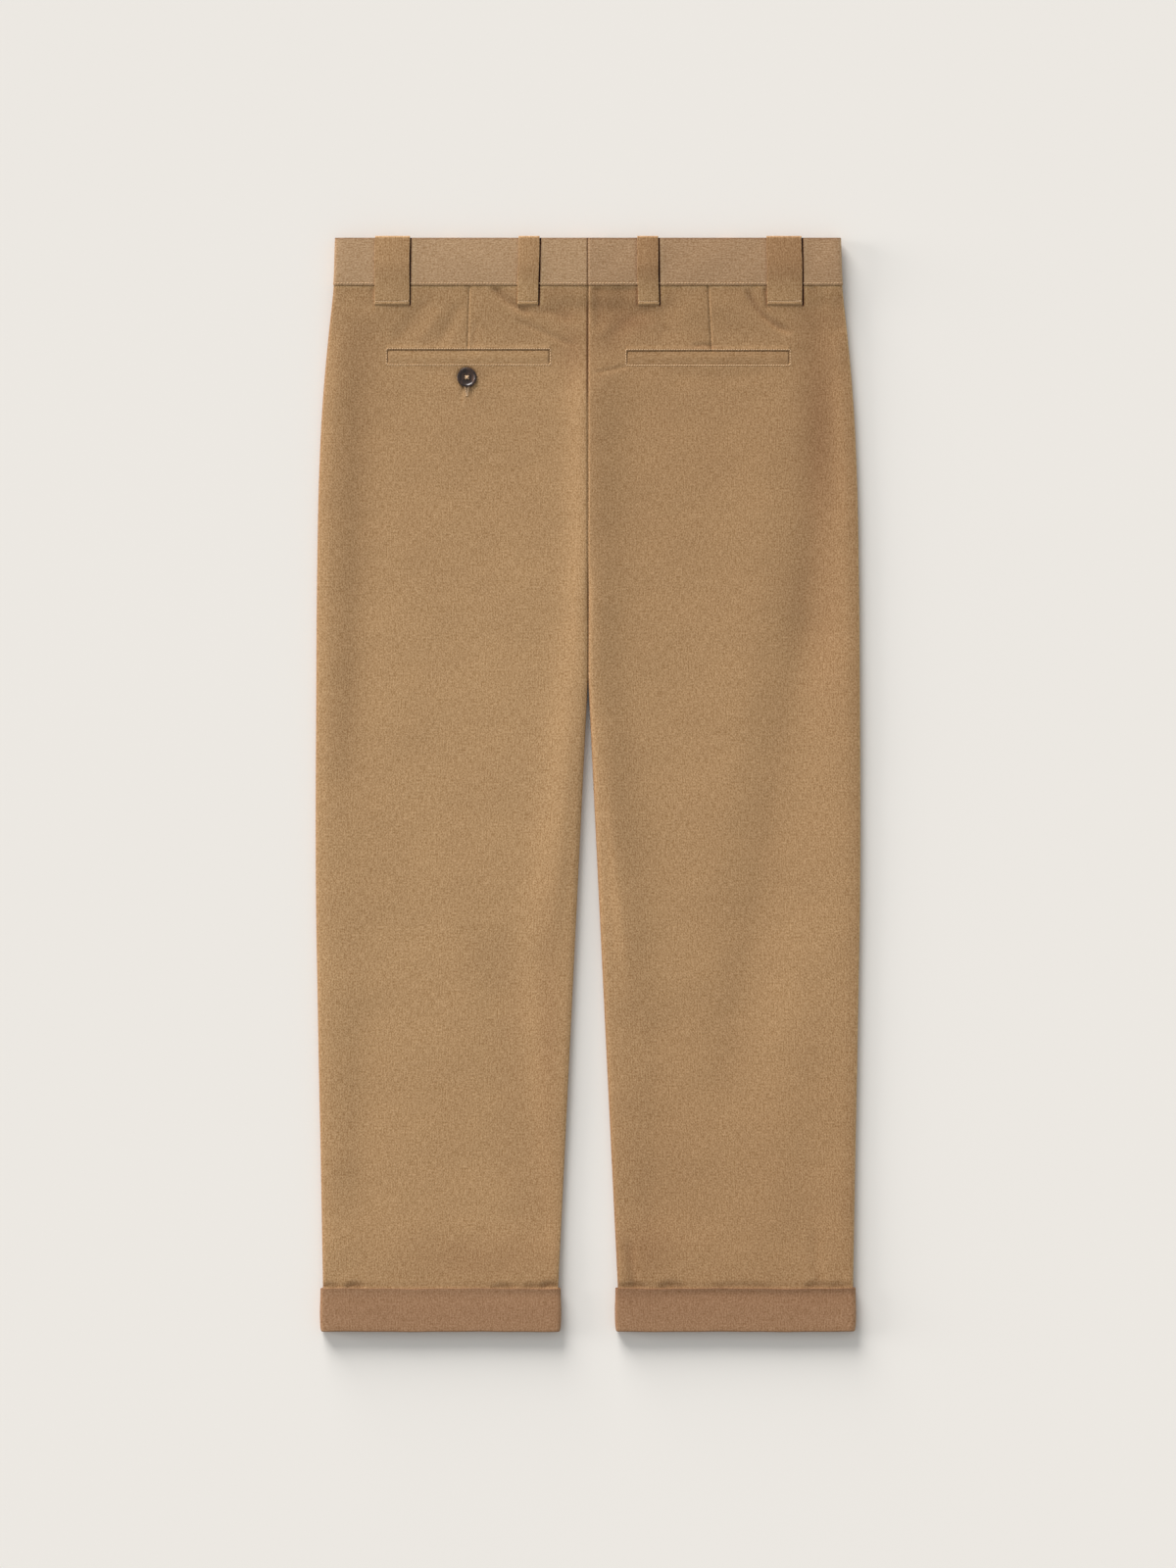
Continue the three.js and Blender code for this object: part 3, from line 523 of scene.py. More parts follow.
def skin(side, up, column, down, out=0.0, widen=0.0):
    """Points of a leg's skin. column runs from 0 at the inseam or seat seam to FULL_REACH at the side edge,
    up is 1 on the backs and -1 on the fronts, out moves the skin outwards and widen spreads the leg."""
    column, down = np.broadcast_arrays(np.asarray(column, float), np.asarray(down, float))
    height = back_height if up > 0 else front_height
    reach = reach_at(down) + widen
    inner = inner_edge(down) - widen
    seam = seam_height(down)
    fixed = 180.0
    flat_end = FULL_REACH - EDGE_ROUND
    near_x = inner + column * (fixed - inner) / fixed
    far_x = fixed + (column - fixed) * (reach - EDGE_ROUND - fixed) / (flat_end - fixed)
    x = np.where(column <= fixed, near_x, far_x)
    in_outer = column > flat_end
    in_inner = column < EDGE_ROUND
    turn = np.where(in_outer, FULL_REACH - column, np.where(in_inner, column, EDGE_ROUND)) / EDGE_ROUND
    cos, sin = squarish(turn * math.pi / 2)
    x_outer = reach - EDGE_ROUND + (EDGE_ROUND + out) * cos
    x_inner = inner + EDGE_ROUND - (EDGE_ROUND + out) * cos
    share = leg_share(down)
    x_seat = inner + column
    x_inner = x_seat + (x_inner - x_seat) * share
    x = np.where(in_outer, x_outer, np.where(in_inner, x_inner, x))
    plain_x = np.where(in_outer, reach - EDGE_ROUND * (1 - cos), np.where(in_inner, np.minimum(x, x_seat), x))
    level = height(side * np.where(in_inner, x_seat, plain_x), down)
    turned = seam + up * (np.abs(level - seam) + out) * sin
    flat = level + up * out
    z = np.where(in_outer, turned, np.where(in_inner, flat + (turned - flat) * share, flat))
    return np.stack([side * x, TOP_Y - down, z], axis=-1)


def spaced(low, high, step, fine=()):
    """Places from low to high a step apart, closer round the fine ones: (place, how far, step)."""
    places = list(np.linspace(low, high, max(2, round((high - low) / step) + 1)))
    for place, far, close in fine:
        places = [p for p in places if abs(p - place) > far + close / 2]
        places += list(np.linspace(place - far, place + far, round(2 * far / close) + 1))
    places = sorted(p for p in places if low <= p <= high)
    return np.array([low, *(p for p in places if low + 1e-6 < p < high - 1e-6), high])


def arc_lengths(points):
    """Distance along each row of points, in millimetres."""
    steps = np.linalg.norm(np.diff(points, axis=1), axis=-1)
    return np.concatenate([np.zeros((len(points), 1)), np.cumsum(steps, axis=1)], axis=1)


# Making meshes.
def only(piece):
    bpy.ops.object.select_all(action="DESELECT")
    piece.select_set(True)
    bpy.context.view_layer.objects.active = piece


def named(name):
    piece = bpy.context.object
    piece.name = piece.data.name = name
    return piece


def set_cloth_map(mesh, values):
    """Gives each vertex its place in the flat cloth, in metres: across the warp, then along it."""
    layer = mesh.uv_layers.active or mesh.uv_layers.new()
    layer.name = "cloth"
    corner = np.empty(len(mesh.loops), dtype=np.int32)
    mesh.loops.foreach_get("vertex_index", corner)
    layer.data.foreach_set("uv", (values[corner] * MM).astype(np.float32).ravel())


def set_tone(mesh, values):
    """Stores the tone at each vertex: a share of the cloth's colour, mostly painted light and shade."""
    layer = mesh.attributes.new("tone", "FLOAT", "POINT")
    layer.data.foreach_set("value", np.broadcast_to(values, len(mesh.vertices)).astype(np.float32))


def laid_grid(name, points, cloth, tone, up):
    """A grid primitive whose vertices are laid on points[row, column], its first face turned up or down."""
    rows, columns = points.shape[:2]
    bpy.ops.object.select_all(action="DESELECT")
    bpy.ops.mesh.primitive_grid_add(x_subdivisions=columns - 1, y_subdivisions=rows - 1, size=2)
    piece = named(name)
    mesh = piece.data
    start = np.empty(len(mesh.vertices) * 3, dtype=np.float32)
    mesh.vertices.foreach_get("co", start)
    start = start.reshape(-1, 3)
    column = np.rint((start[:, 0] + 1) / 2 * (columns - 1)).astype(int)
    row = np.rint((start[:, 1] + 1) / 2 * (rows - 1)).astype(int)
    mesh.vertices.foreach_set("co", (points[row, column] * MM).astype(np.float32).ravel())
    set_cloth_map(mesh, cloth[row, column])
    set_tone(mesh, np.broadcast_to(tone, (rows, columns))[row, column])
    mesh.update()
    normals = np.empty(len(mesh.polygons) * 3, dtype=np.float32)
    mesh.polygons.foreach_get("normal", normals)
    middle = rows // 2 * (columns - 1)
    if up * normals.reshape(-1, 3)[middle : middle + columns // 4, 2].mean() < 0:
        mesh.flip_normals()
    return piece


def apply_modifier(piece, kind, **settings):
    only(piece)
    modifier = piece.modifiers.new(kind.title(), kind)
    for key, value in settings.items():
        setattr(modifier, key, value)
    bpy.ops.object.modifier_apply(modifier=modifier.name)


def make_wall(piece, wall, round_edges=0.0, smooth_angle=60):
    """Gives cloth its thickness, inwards, and rounds its cut or folded edges."""
    apply_modifier(piece, "SOLIDIFY", thickness=wall * MM, offset=-1, use_even_offset=False)
    if round_edges:
        apply_modifier(
            piece, "BEVEL", width=round_edges * MM, segments=3, limit_method="ANGLE", angle_limit=math.radians(55)
        )
    only(piece)
    bpy.ops.object.shade_smooth_by_angle(angle=math.radians(smooth_angle))


def dress(piece, material, slot, *nodes):
    """Material and frame body of a finished piece, with the nodes it stands for hidden."""
    piece.data.materials.clear()
    piece.data.materials.append(bpy.data.materials[material])
    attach(piece, "root")
    if nodes:
        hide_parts(*nodes)


# Materials.
def add_node(tree, kind, properties=None, inputs=None):
    """Adds a shader node, sets its properties, and sets or links its inputs."""
    made = tree.nodes.new("ShaderNode" + kind)
    for key, value in (properties or {}).items():
        setattr(made, key, value)
    for key, value in (inputs or {}).items():
        if isinstance(value, bpy.types.NodeSocket):
            tree.links.new(value, made.inputs[key])
        else:
            made.inputs[key].default_value = value
    return made


def new_material(name):
    material = bpy.data.materials.new(name)
    material.use_nodes = True
    material.node_tree.nodes.clear()
    return material, material.node_tree


def finish_material(tree, colour, normal, **inputs):
    shader = add_node(tree, "BsdfPrincipled", inputs={"Base Color": colour, "Normal": normal, **inputs})
    add_node(tree, "OutputMaterial", inputs={"Surface": shader.outputs["BSDF"]})


# How much of the fleck each of red, green and blue takes, and what is left of them where the tone is 0.6. The tone is
# mostly painted light and shade: below 1 it darkens and reddens the cloth as painted shade, and above 1 it pales it as
# painted light.
FLECK_SHARES = (0.8, 1.0, 1.33)
DEEP_TONE_AND_SHADE = (0.658, 0.579, 0.553)


def twill_material(name, colour, fleck, fleck_mm, rib_mm, relief):
    """Woven cotton twill: slubby warp and weft threads crossed by fine slanting ribs.

    The real threads are 0.3 mm apart and the ribs 0.9 mm. They are drawn as coarse as fleck_mm and rib_mm
    say, because finer ones would not show, and give the eye a dry, slightly mottled, matt cloth.
    """
    material, tree = new_material(name)
    place = add_node(tree, "UVMap", {"uv_map": "cloth"}).outputs["UV"]

    def threads(across_mm, along_mm, detail):
        scaled = add_node(
            tree, "Mapping", inputs={"Vector": place, "Scale": (1 / (across_mm * MM), 1 / (along_mm * MM), 1)}
        )
        noise = add_node(
            tree, "TexNoise", {"noise_dimensions": "2D"},
            {"Vector": scaled.outputs["Vector"], "Scale": 1.0, "Detail": detail, "Roughness": 0.6},
        )
        return noise.outputs["Fac"]

    grain = threads(fleck_mm, fleck_mm * 1.5, 1.0)
    warp = threads(fleck_mm, fleck_mm * 7, 1.0)
    weft = threads(fleck_mm * 5, fleck_mm, 1.0)
    mottle = threads(40, 70, 1.0)
    streaks = add_node(tree, "Math", {"operation": "MULTIPLY_ADD"}, {0: weft, 1: 0.5, 2: warp})
    both = add_node(tree, "Math", {"operation": "MULTIPLY_ADD"}, {0: streaks.outputs[0], 1: 0.5, 2: grain})
    slubs = add_node(
        tree, "MapRange", inputs={"Value": both.outputs[0], "From Min": 0.575, "From Max": 1.175, "To Min": 0, "To Max": 1}
    )
    # The tone attribute carries painted light and shade.
    tone_and_painted_shade = add_node(tree, "Attribute", {"attribute_name": "tone"}).outputs["Fac"]
    turned = add_node(
        tree, "Mapping",
        inputs={"Vector": place, "Rotation": (0, 0, math.radians(27)), "Scale": (1 / MM, 1 / MM, 1)},
    )
    ribs = add_node(
        tree, "TexWave", {"wave_type": "BANDS", "bands_direction": "X", "wave_profile": "SIN"},
        {
            "Vector": turned.outputs["Vector"],
            "Scale": 1 / (rib_mm * math.pi * 2) * math.pi / 1.0,
            "Distortion": 1.2,
            "Detail": 2.0,
            "Detail Scale": 0.6,
        },
    )
    dark = [c * (1 - fleck * share) for c, share in zip(colour, FLECK_SHARES)]
    light = [min(1, c * (1 + fleck * share)) for c, share in zip(colour, FLECK_SHARES)]
    flecked = add_node(
        tree, "Mix", {"data_type": "RGBA"},
        {0: slubs.outputs["Result"], 6: (*dark, 1), 7: (*light, 1)},
    )
    tone = add_node(
        tree, "MapRange", inputs={"Value": mottle, "From Min": 0.3, "From Max": 0.7, "To Min": 0.985, "To Max": 1.015}
    )
    both_tones = add_node(tree, "Math", {"operation": "MULTIPLY"}, {0: tone.outputs["Result"], 1: tone_and_painted_shade})
    depth = add_node(tree, "Math", {"operation": "MULTIPLY_ADD"}, {0: both_tones.outputs[0], 1: 2.5, 2: -1.5})
    deepened = add_node(
        tree, "Mix", {"data_type": "RGBA", "clamp_factor": False},
        {0: depth.outputs[0], 6: (*DEEP_TONE_AND_SHADE, 1), 7: (1, 1, 1, 1)},
    )
    toned = add_node(
        tree, "Mix", {"data_type": "RGBA", "blend_type": "MULTIPLY"},
        {0: 1.0, 6: flecked.outputs[2], 7: deepened.outputs[2]},
    )
    rib_share = add_node(tree, "Math", {"operation": "MULTIPLY"}, {0: ribs.outputs["Fac"], 1: 0.45})
    height = add_node(tree, "Math", {"operation": "ADD"}, {0: rib_share.outputs[0], 1: slubs.outputs["Result"]})
    bump = add_node(
        tree, "Bump", inputs={"Height": height.outputs[0], "Strength": relief, "Distance": 0.25 * MM}
    )
    finish_material(
        tree, toned.outputs[2], bump.outputs["Normal"],
        **{"Roughness": 0.88, "Specular IOR Level": 0.22, "Sheen Weight": 0.12, "Sheen Roughness": 0.45,
           "Sheen Tint": (*[min(1, c * 1.5) for c in colour], 1)},
    )
    return material


def thread_material(name, colour):
    """Spun polyester-cotton sewing thread: twisted plies, drawn 0.5 mm apart, which catch the light as flecks."""
    material, tree = new_material(name)
    place = add_node(tree, "TexCoord").outputs["Object"]
    plies = add_node(
        tree, "TexNoise", inputs={"Vector": place, "Scale": 1 / (0.5 * MM), "Detail": 1.0}
    )
    light = [min(1, c * 1.12) for c in colour]
    dark = [c * 0.82 for c in colour]
    flecked = add_node(
        tree, "Mix", {"data_type": "RGBA"}, {0: plies.outputs["Fac"], 6: (*dark, 1), 7: (*light, 1)}
    )
    bump = add_node(
        tree, "Bump", inputs={"Height": plies.outputs["Fac"], "Strength": 0.3, "Distance": 0.1 * MM}
    )
    finish_material(
        tree, flecked.outputs[2], bump.outputs["Normal"],
        **{"Roughness": 0.55, "Specular IOR Level": 0.4, "Sheen Weight": 0.1},
    )
    return material


def horn_material(name, colour, streak):
    """Polished buffalo horn, turned and drilled: dark, with soft paler streaks and a clean gloss."""
    material, tree = new_material(name)
    place = add_node(tree, "TexCoord").outputs["Object"]
    stretched = add_node(
        tree, "Mapping", inputs={"Vector": place, "Rotation": (0, 0, 0.6), "Scale": (1 / (3 * MM), 1 / (9 * MM), 1 / (6 * MM))}
    )
    noise = add_node(
        tree, "TexNoise", inputs={"Vector": stretched.outputs["Vector"], "Scale": 1.0, "Detail": 4.0, "Distortion": 0.8}
    )
    share = add_node(
        tree, "MapRange", inputs={"Value": noise.outputs["Fac"], "From Min": 0.48, "From Max": 0.75, "To Min": 0, "To Max": 1}
    )
    streaked = add_node(
        tree, "Mix", {"data_type": "RGBA"}, {0: share.outputs["Result"], 6: (*colour, 1), 7: (*streak, 1)}
    )
    bump = add_node(tree, "Bump", inputs={"Height": noise.outputs["Fac"], "Strength": 0.08, "Distance": 0.1 * MM})
    finish_material(
        tree, streaked.outputs[2], bump.outputs["Normal"],
        **{"Roughness": 0.34, "IOR": 1.5, "Coat Weight": 0.2, "Coat Roughness": 0.12},
    )
    return material


def paper_material(name, colour):
    """Matt background paper, with a trace of tone in it."""
    material, tree = new_material(name)
    place = add_node(tree, "TexCoord").outputs["Object"]
    grain = add_node(tree, "TexNoise", inputs={"Vector": place, "Scale": 1 / (400 * MM), "Detail": 1.0})
    toned = add_node(
        tree, "Mix", {"data_type": "RGBA"},
        {0: grain.outputs["Fac"], 6: (*[c * 0.995 for c in colour], 1), 7: (*[min(1, c * 1.005) for c in colour], 1)},
    )
    bump = add_node(tree, "Bump", inputs={"Height": grain.outputs["Fac"], "Strength": 0.0})
    finish_material(tree, toned.outputs[2], bump.outputs["Normal"], **{"Roughness": 0.95, "Specular IOR Level": 0.1})
    return material


# Settings that a user would change.
def colour_property(name, description, default):
    return FloatVectorProperty(
        name=name, description=description, default=hex_colour(default), size=3, min=0, max=1, subtype="COLOR"
    )


class TrousersColours(bpy.types.PropertyGroup):
    cloth: colour_property("Cloth", "Twill of the legs and belt loops", "#ae8a62")
    band: colour_property("Waistband", "Twill of the waistband, which runs across", "#ab8a68")
    turned: colour_property("Turn-ups", "Wrong side of the twill, which the turn-ups show", "#9b7657")
    thread: colour_property("Thread", "Sewing thread", "#d4b28b")
    horn: colour_property("Button", "Dark horn of the buttons", "#2a1b15")
    streak: colour_property("Button streaks", "Paler streaks in the horn", "#5c4233")
    paper: colour_property("Background", "Paper that the trousers lie on", "#eee9e3")


class TrousersSizes(bpy.types.PropertyGroup):
    fleck: FloatProperty(
        name="Fleck size", description="Width of the slubs that show in the cloth", default=1.15 * MM,
        min=0.2 * MM, unit="LENGTH",
    )
    rib: FloatProperty(
        name="Rib spacing", description="Distance between the twill's slanting ribs", default=1.8 * MM,
        min=0.2 * MM, unit="LENGTH",
    )
    stitch_pitch: FloatProperty(
        name="Stitch pitch", description="From one stitch to the next", default=2.6 * MM, min=1 * MM, unit="LENGTH"
    )
    stitch_width: FloatProperty(
        name="Stitch width", description="Thickness of the thread as drawn", default=0.85 * MM,
        min=0.1 * MM, unit="LENGTH",
    )
    sun_angle: FloatProperty(
        name="Softness of the light", description="Angle that the main light fills", default=math.radians(36),
        min=0, subtype="ANGLE",
    )
    camera_height: FloatProperty(
        name="Camera height", description="Camera above the surface", default=5.0, min=1, unit="LENGTH"
    )


# Operators.
class TROUSERS_OT_materials(bpy.types.Operator):
    """Make the twill, thread, horn and paper"""

    bl_idname = "trousers.materials"
    bl_label = "Materials"

    def execute(self, context):
        colours, sizes = context.scene.trousers_colours, context.scene.trousers_sizes
        fleck, rib = sizes.fleck / MM, sizes.rib / MM
        twill_material("cotton twill, right side", colours.cloth, 0.34, fleck, rib, 0.3)
        twill_material("cotton twill, waistband", colours.band, 0.3, fleck, rib, 0.3)
        twill_material("cotton twill, wrong side", colours.turned, 0.3, fleck, rib, 0.3)
        thread_material("sewing thread, spun", colours.thread)
        horn_material("horn, polished", colours.horn, colours.streak)
        paper_material("background paper", colours.paper)
        return {"FINISHED"}


PANEL_COLUMNS = {
    1: spaced(0, FULL_REACH, 1.9, (
        (1.6, 1.6, 0.4), (33.4, 0.9, 0.3), (42.1, 1.2, 0.4), (61.2, 1.2, 0.4), (103.4, 3.6, 0.45), (152.6, 1.2, 0.4),
        (172.2, 0.9, 0.3), (184.2, 1.2, 0.4), (FULL_REACH - 4, 4, 0.9),
    )),
    -1: spaced(0, FULL_REACH, 5.5, ((2, 2, 0.7), (FULL_REACH - 4, 4, 1.0))),
}
PANEL_ROWS = {
    1: np.unique(np.concatenate([
        spaced(40.0, 120, 1.3, ((43, 3, 0.5), (95.9, 1.1, 0.22), (107.3, 1.8, 0.5))),
        spaced(120, 340, 4.0, ((130, 5, 1.0),)),
        spaced(340, 864, 6.0),
        spaced(864, 904, 1.4),
        spaced(912, LEG_END_DOWN, 12),
    ])),
    -1: np.concatenate([spaced(40.0, 900, 6.5, ((43, 3, 0.8),)), spaced(912, LEG_END_DOWN, 12)]),
}


def leg_panel(side, up, word):
    """A back or front: one wall of cloth from the waist seam to the leg's end inside the turn-up."""
    rows, columns = PANEL_ROWS[up], PANEL_COLUMNS[up]
    points = skin(side, up, columns[None, :], rows[:, None])
    across = arc_lengths(points)
    cloth = np.stack([side * across, np.broadcast_to(-rows[:, None], across.shape)], axis=-1)
    part = "back" if up > 0 else "front"
    flat_x = points[..., 0]
    if up > 0:
        tone = back_tone_and_painted_shade(side, flat_x, rows[:, None])
    else:
        tone = PANEL_TONE[side] + rim_tone(side, flat_x, rows[:, None], under=True)
    piece = laid_grid(f"{part}_panel_{word}", points, cloth, tone, up)
    make_wall(piece, PANEL_WALL)
    dress(piece, "cotton twill, right side", "cotton_twill", f"{part}_{word}")
    return points


class TROUSERS_OT_backs(bpy.types.Operator):
    """Lay the two backs, with their folds, darts and pocket openings"""

    bl_idname = "trousers.backs"
    bl_label = "Backs"

    def execute(self, context):
        for word, side in (("left", -1), ("right", 1)):
            leg_panel(side, 1, word)
        return {"FINISHED"}


class TROUSERS_OT_fronts(bpy.types.Operator):
    """Lay the two fronts, flat on the surface"""

    bl_idname = "trousers.fronts"
    bl_label = "Fronts"

    def execute(self, context):
        for word, side in (("left", -1), ("right", 1)):
            leg_panel(side, -1, word)
        return {"FINISHED"}


BAND_LAP = {"left_past": 18, "right_past": 16, "steps_from": 34, "steps_to": 19}
BAND_STITCH_DOWN = 38.9


def band_points(side, back, angles, front, down):
    """Outer face of one waistband half: back and front are places across as shares of the flat part."""
    down = np.asarray(down, float)[:, None]
    middle = (BAND_TOP + BAND_UNDER) / 2
    half = (BAND_TOP - BAND_UNDER) / 2
    reach = reach_at(down) + BAND_PROUD
    flat_end = reach - EDGE_ROUND
    past = BAND_LAP["right_past"] if side > 0 else BAND_LAP["left_past"]
    step = BAND_WALL + 0.3 if side > 0 else 0
    crown = 0.28 * np.sin(math.pi * np.clip(down / BAND_DEPTH, 0, 1))
    ditch = 0.08 * bell(down - BAND_STITCH_DOWN, 0.7)
    face = crown - ditch
    x_back = back[None, :] * flat_end
    uneven = np.sin(x_back / 9 + down / 7) + np.sin(x_back / 23 - down / 15 + side)
    z_back = middle + half + face - 0.5 * bell(x_back, 0.8) + 0.07 * uneven
    cos, sin = squarish(angles)
    x_roll = flat_end + EDGE_ROUND * cos[None, :] + 0 * down
    z_roll = middle + (half + face * sin**2) * sin[None, :]
    x_front = -past + front[None, :] * (flat_end + past)
    lift = step * ease(-x_front, -BAND_LAP["steps_from"], -BAND_LAP["steps_to"])
    z_front = middle - half + 0 * down + np.maximum(ditch, 0) + lift
    x = np.concatenate([np.broadcast_to(part, (len(down), part.shape[1])) for part in (x_back, x_roll, x_front)], axis=1)
    z = np.concatenate([np.broadcast_to(part, (len(down), part.shape[1])) for part in (z_back, z_roll, z_front)], axis=1)
    y = np.broadcast_to(TOP_Y - down, x.shape)
    return np.stack([side * x, y, z], axis=-1)


class TROUSERS_OT_waistband(bpy.types.Operator):
    """Fold each waistband half from the centre back round the side to the front closure"""

    bl_idname = "trousers.waistband"
    bl_label = "Waistband"

    def execute(self, context):
        down = spaced(0, BAND_DEPTH, 2.2, ((BAND_STITCH_DOWN, 1.5, 0.4),))
        beside = [abs(loop["across"] + loop["width"] / 2 * turn) / 209 for loop in LOOPS.values() for turn in (-1, 1)]
        back = spaced(0, 1, 0.013, ((0.006, 0.006, 0.002), *((place, 0.009, 0.0022) for place in beside[:8])))[:-1]
        angles = np.linspace(math.pi / 2, -math.pi / 2, 15)
        front = spaced(0, 1, 0.025)[::-1][1:]
        for word, side in (("left", -1), ("right", 1)):
            points = band_points(side, back, angles, front, down)
            along = arc_lengths(points)
            cloth = np.stack([np.broadcast_to(down[:, None], along.shape), side * along], axis=-1)
            tone = BAND_TONE[side] + rim_tone(side, points[..., 0], down[:, None], beyond=BAND_PROUD)
            # The top edge is painted darker, as painted shade.
            tone = tone - 0.45 * bell(down, 0.9)[:, None]
            tone[:, : len(back)] -= 0.55 * bell(points[:, : len(back), 0] + 0.6, 0.6)
            tone[:, : len(back)] += loop_shade(points[:, : len(back), 0], down[:, None])
            piece = laid_grid(f"waistband_strip_{word}", points, cloth, tone, 1)
            make_wall(piece, BAND_WALL, round_edges=0.5)
            dress(piece, "cotton twill, waistband", "cotton_twill", f"waistband_{word}")
            width, length, area = CUTS["waistband"]
        return {"FINISHED"}


# A turn-up's section: it goes down inside the leg, folds and comes up outside it.
CUFF_SECTION = (
    # down from the turn-up's top, out from the leg's skin, widen
    (0.2, 0.3, 0.6),
    (0.0, 0.6, 0.6),
    (0.0, 1.3, 0.6),
    (0.12, 1.5, 0.6),
    (0.4, 1.55, 0.6),
    (1.0, 1.55, 0.65),
    (4.5, 1.3, 0.9),
    (9.0, 1.3, 1.0),
    (17.0, 1.6, 1.1),
    (26.0, 1.65, 1.0),
    (33.0, 1.65, 0.6),
    (36.2, 1.6, 0.2),
    (36.9, 1.5, -0.1),
    (37.3, 1.1, -0.3),
    (37.4, 0.5, -0.6),
    (37.4, -1.4, -0.8),
    (36.9, -2.5, -0.6),
    (35.4, -2.9, -0.3),
    (30.0, -3.0, 0.0),
    (18.0, -3.0, 0.0),
    (6.0, -3.0, 0.0),
    (6.0, -1.8, 0.0),
    (18.0, -1.8, 0.0),
    (34.6, -1.8, 0.0),
    (35.6, -0.7, 0.0),
    (34.6, 0.3, 0.0),
    (26.0, 0.3, 0.5),
    (12.0, 0.3, 0.6),
    (3.0, 0.3, 0.6),
)


# Dip behind a turn-up's top edge, and where across it sets in.
CUFF_DIP = {-1: 0.3, 1: 0.45}
CUFF_DIP_FROM = {-1: (-110, -50), 1: (40, 90)}


class TROUSERS_OT_turn_ups(bpy.types.Operator):
    """Fold the turn-ups round the ends of the legs"""

    bl_idname = "trousers.turn_ups"
    bl_label = "Turn-ups"

    def execute(self, context):
        columns = spaced(0, FULL_REACH, 4.5, ((3, 3, 1.0), (FULL_REACH - 4, 4, 1.0)))
        section = np.array(CUFF_SECTION)
        for word, side in (("left", -1), ("right", 1)):
            over, below = [], []
            for depth, out, widen in section:
                down = CUFF_TOP_DOWN + depth
                over.append(cuff_row(side, 1, columns, down, out, widen))
                below.append(cuff_row(side, -1, columns[::-1][1:-1], down, out, widen))
            rings = np.concatenate([np.array(over), np.array(below)], axis=1)
            piece = ring_piece(f"turn_up_fold_{word}", rings, side)
            apply_modifier(piece, "SUBSURF", levels=1, render_levels=1)
            only(piece)
            bpy.ops.object.shade_smooth()
            dress(piece, "cotton twill, wrong side", "turn_up_twill", f"turn_up_{word}")
            width, length, area = CUTS["turn_up"]
        return {"FINISHED"}


def cuff_row(side, up, columns, down, out, widen):
    """One ring line of a turn-up, round the leg's plain form, with a slight waver in its edges."""
    flat_down = max(down, CUFF_TOP_DOWN + 13)
    points = skin(side, up, columns, np.full(columns.shape, float(flat_down)), out, widen)
    waver = 0.22 * np.sin(points[:, 0] / 17 + up) + 0.15 * np.sin(points[:, 0] / 6.1 + 2 * side)
    points[:, 1] = TOP_Y - down + waver * ease(abs(out), 0.0, 1.2)
    if up > 0:
        points[:, 2] -= CUFF_DIP[side] * bell(down - CUFF_TOP_DOWN - 5, 2.6) * ease(points[:, 0], *CUFF_DIP_FROM[side])
    points[:, 2] = np.maximum(points[:, 2], 0.0)
    return points


def ring_piece(name, rings, side):
    """A torus primitive whose vertices are laid on rings[section, around]."""
    sections, around = rings.shape[:2]
    bpy.ops.object.select_all(action="DESELECT")
    bpy.ops.mesh.primitive_torus_add(
        major_segments=around, minor_segments=sections, major_radius=1.0, minor_radius=0.25
    )
    piece = named(name)
    mesh = piece.data
    start = np.empty(len(mesh.vertices) * 3, dtype=np.float32)
    mesh.vertices.foreach_get("co", start)
    x, y, z = start.reshape(-1, 3).T.astype(float)
    turn = np.rint(np.arctan2(y, x) / (2 * math.pi) * around).astype(int) % around
    tilt = np.rint(np.arctan2(z, np.hypot(x, y) - 1.0) / (2 * math.pi) * sections).astype(int) % sections
    mesh.vertices.foreach_set("co", (rings[tilt, turn] * MM).astype(np.float32).ravel())
    lengths = np.cumsum(np.linalg.norm(np.diff(rings[4], axis=0, append=rings[4][:1]), axis=-1))
    leaf = np.cumsum(np.linalg.norm(np.diff(rings[:, around // 4], axis=0, prepend=rings[:1, around // 4]), axis=-1))
    set_cloth_map(mesh, np.stack([lengths[turn], leaf[tilt]], axis=-1))
    rim = rim_tone(side, rings[4][:, 0], CUFF_TOP_DOWN + 4, beyond=2.2)
    below_brim = np.array(CUFF_SECTION)[:, 0]
    # Painted shade dims the highlight along the top edge and, on the right, the upper part of the turn-up. Painted
    # light pales its lower part.
    brim_light_and_shade = -0.3 * bell(below_brim, 0.5) - (0.1 if side > 0 else 0.0) * (1 - ease(below_brim, 3, 21))
    brim_light_and_shade = brim_light_and_shade + 0.05 * ease(below_brim, 22, 34)
    set_tone(mesh, CUFF_TONE[side] + rim[turn] + brim_light_and_shade[tilt])
    mesh.update()
    made = bmesh.new()
    made.from_mesh(mesh)
    if made.calc_volume(signed=True) < 0:
        bmesh.ops.reverse_faces(made, faces=made.faces)
    made.to_mesh(mesh)
    made.free()
    return piece


